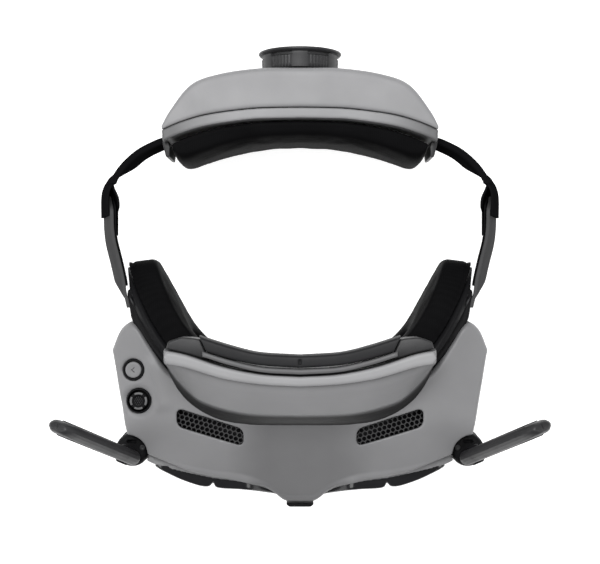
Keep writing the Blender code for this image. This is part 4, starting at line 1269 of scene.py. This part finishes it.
def dial():
    """The adjusting dial: a drum of six fluted panels, each with a slot under the thin flange."""
    low, high = low_high("dial")
    radius = (high.x - low.x) / 2

    def flutes(angle, h):
        panel = math.cos(6 * angle) > -0.3
        if panel and -3.3 < h < -1.9:
            return -1.0
        if panel and -8.9 < h < -3.4:
            return -0.3 * (0.5 + 0.5 * math.cos(72 * angle))
        return 0.0

    # how far inside the full radius, and the height under the top
    rim = [(2.4, -9.2), (1.7, -8.8), (1.5, -7.0), (1.4, -3.6), (1.3, -3.1), (1.3, -2.1), (0.5, -1.7), (0.0, -1.1),
           (0.1, -0.4), (0.8, -0.1), (3.5, 0.0), (4.4, -0.3), (5.2, -1.0), (9.0, -1.2)]
    profile = [(2.6, low.y - high.y), (2.6, -9.2), *((radius - inside, h) for inside, h in rim), (3.0, -1.0)]
    wheel = turned("dial_wheel_skin", profile, (DIAL.x, high.y, DIAL.z), "dark", (0, 1, 0), 288, flutes)
    wheel.data.set_sharp_from_angle(angle=math.radians(45))
    stand_for(wheel, "dial_wheel", "dark", "dial")


# ---- underside details

def underside():
    """Two rubber feet under the front body."""
    for label, side in SIDES.items():
        foot = turned(f"foot_front_{label}", [(3.4, 0.05), (3.8, 0.4), (3.8, 1.2), (3.4, 1.5)],
                      (side * 54.0, -66.0, 0.0), "black", count=40)
        stand_for(foot, "headset", "black")


def remaining_nodes():
    """Better materials for the CAD nodes that stay in view."""
    slots = {part["node"]: part["material_slot"] for part in frame["record"]["subparts"]}
    for name, item in frame["nodes"].items():
        if not item.hide_render:
            item.data.materials.clear()
            item.data.materials.append(LOOKS[slots[name]])


# ---- stage

def stage():
    """A pale glowing floor, an overhead soft box, two side soft boxes and the camera straight above."""
    mesh = bpy.data.meshes.new("floor")
    size, drop = 3.0, -0.0002
    mesh.from_pydata([(-size, -size, drop), (size, -size, drop), (size, size, drop), (-size, size, drop)],
                     [], [(0, 1, 2, 3)])
    paper = Graph("floor_paper")
    paper.link(paper.tint(paper.noise(3.0), (0.50, 0.50, 0.50), (0.53, 0.53, 0.53)), paper.shader.inputs["Base Color"])
    paper.set(Roughness=0.9, Emission_Color=(1, 1, 1, 1), Emission_Strength=0.85)
    mesh.materials.append(paper.skin)
    floor = put("floor", mesh)

    world = bpy.data.worlds.new("studio")
    bpy.context.scene.world = world
    world.use_nodes = True
    world.node_tree.nodes["Background"].inputs["Color"].default_value = (1, 1, 1, 1)
    world.node_tree.nodes["Background"].inputs["Strength"].default_value = 0.30

    for name, place, size, power in (("overhead", (-0.15, 0.65, 1.85), 1.2, 44.0),
                                     ("left", (-1.4, -0.3, 0.9), 0.8, 11.0), ("right", (1.4, -0.3, 0.9), 0.8, 9.0)):
        data = bpy.data.lights.new(name, "AREA")
        data.size = size
        data.energy = power
        lamp = put(name, data)
        lamp.location = place
        lamp.rotation_euler = (-Vector(place)).to_track_quat("-Z", "Y").to_euler()

    data = bpy.data.cameras.new("camera")
    data.lens = 74.3
    data.sensor_width = 36.0
    data.clip_start = 0.02
    data.clip_end = 20.0
    camera = put("camera", data)
    camera.location = (0.0, 0.0, 0.6)
    bpy.context.scene.camera = camera
    bpy.context.scene.view_settings.view_transform = "Standard"


def main():
    for build in (front_body, grilles, brow, pad_carrier, brow_pad, mask, fascia, controls, antennas, headband,
                  rear_unit, underside, remaining_nodes, stage):
        build()


main()
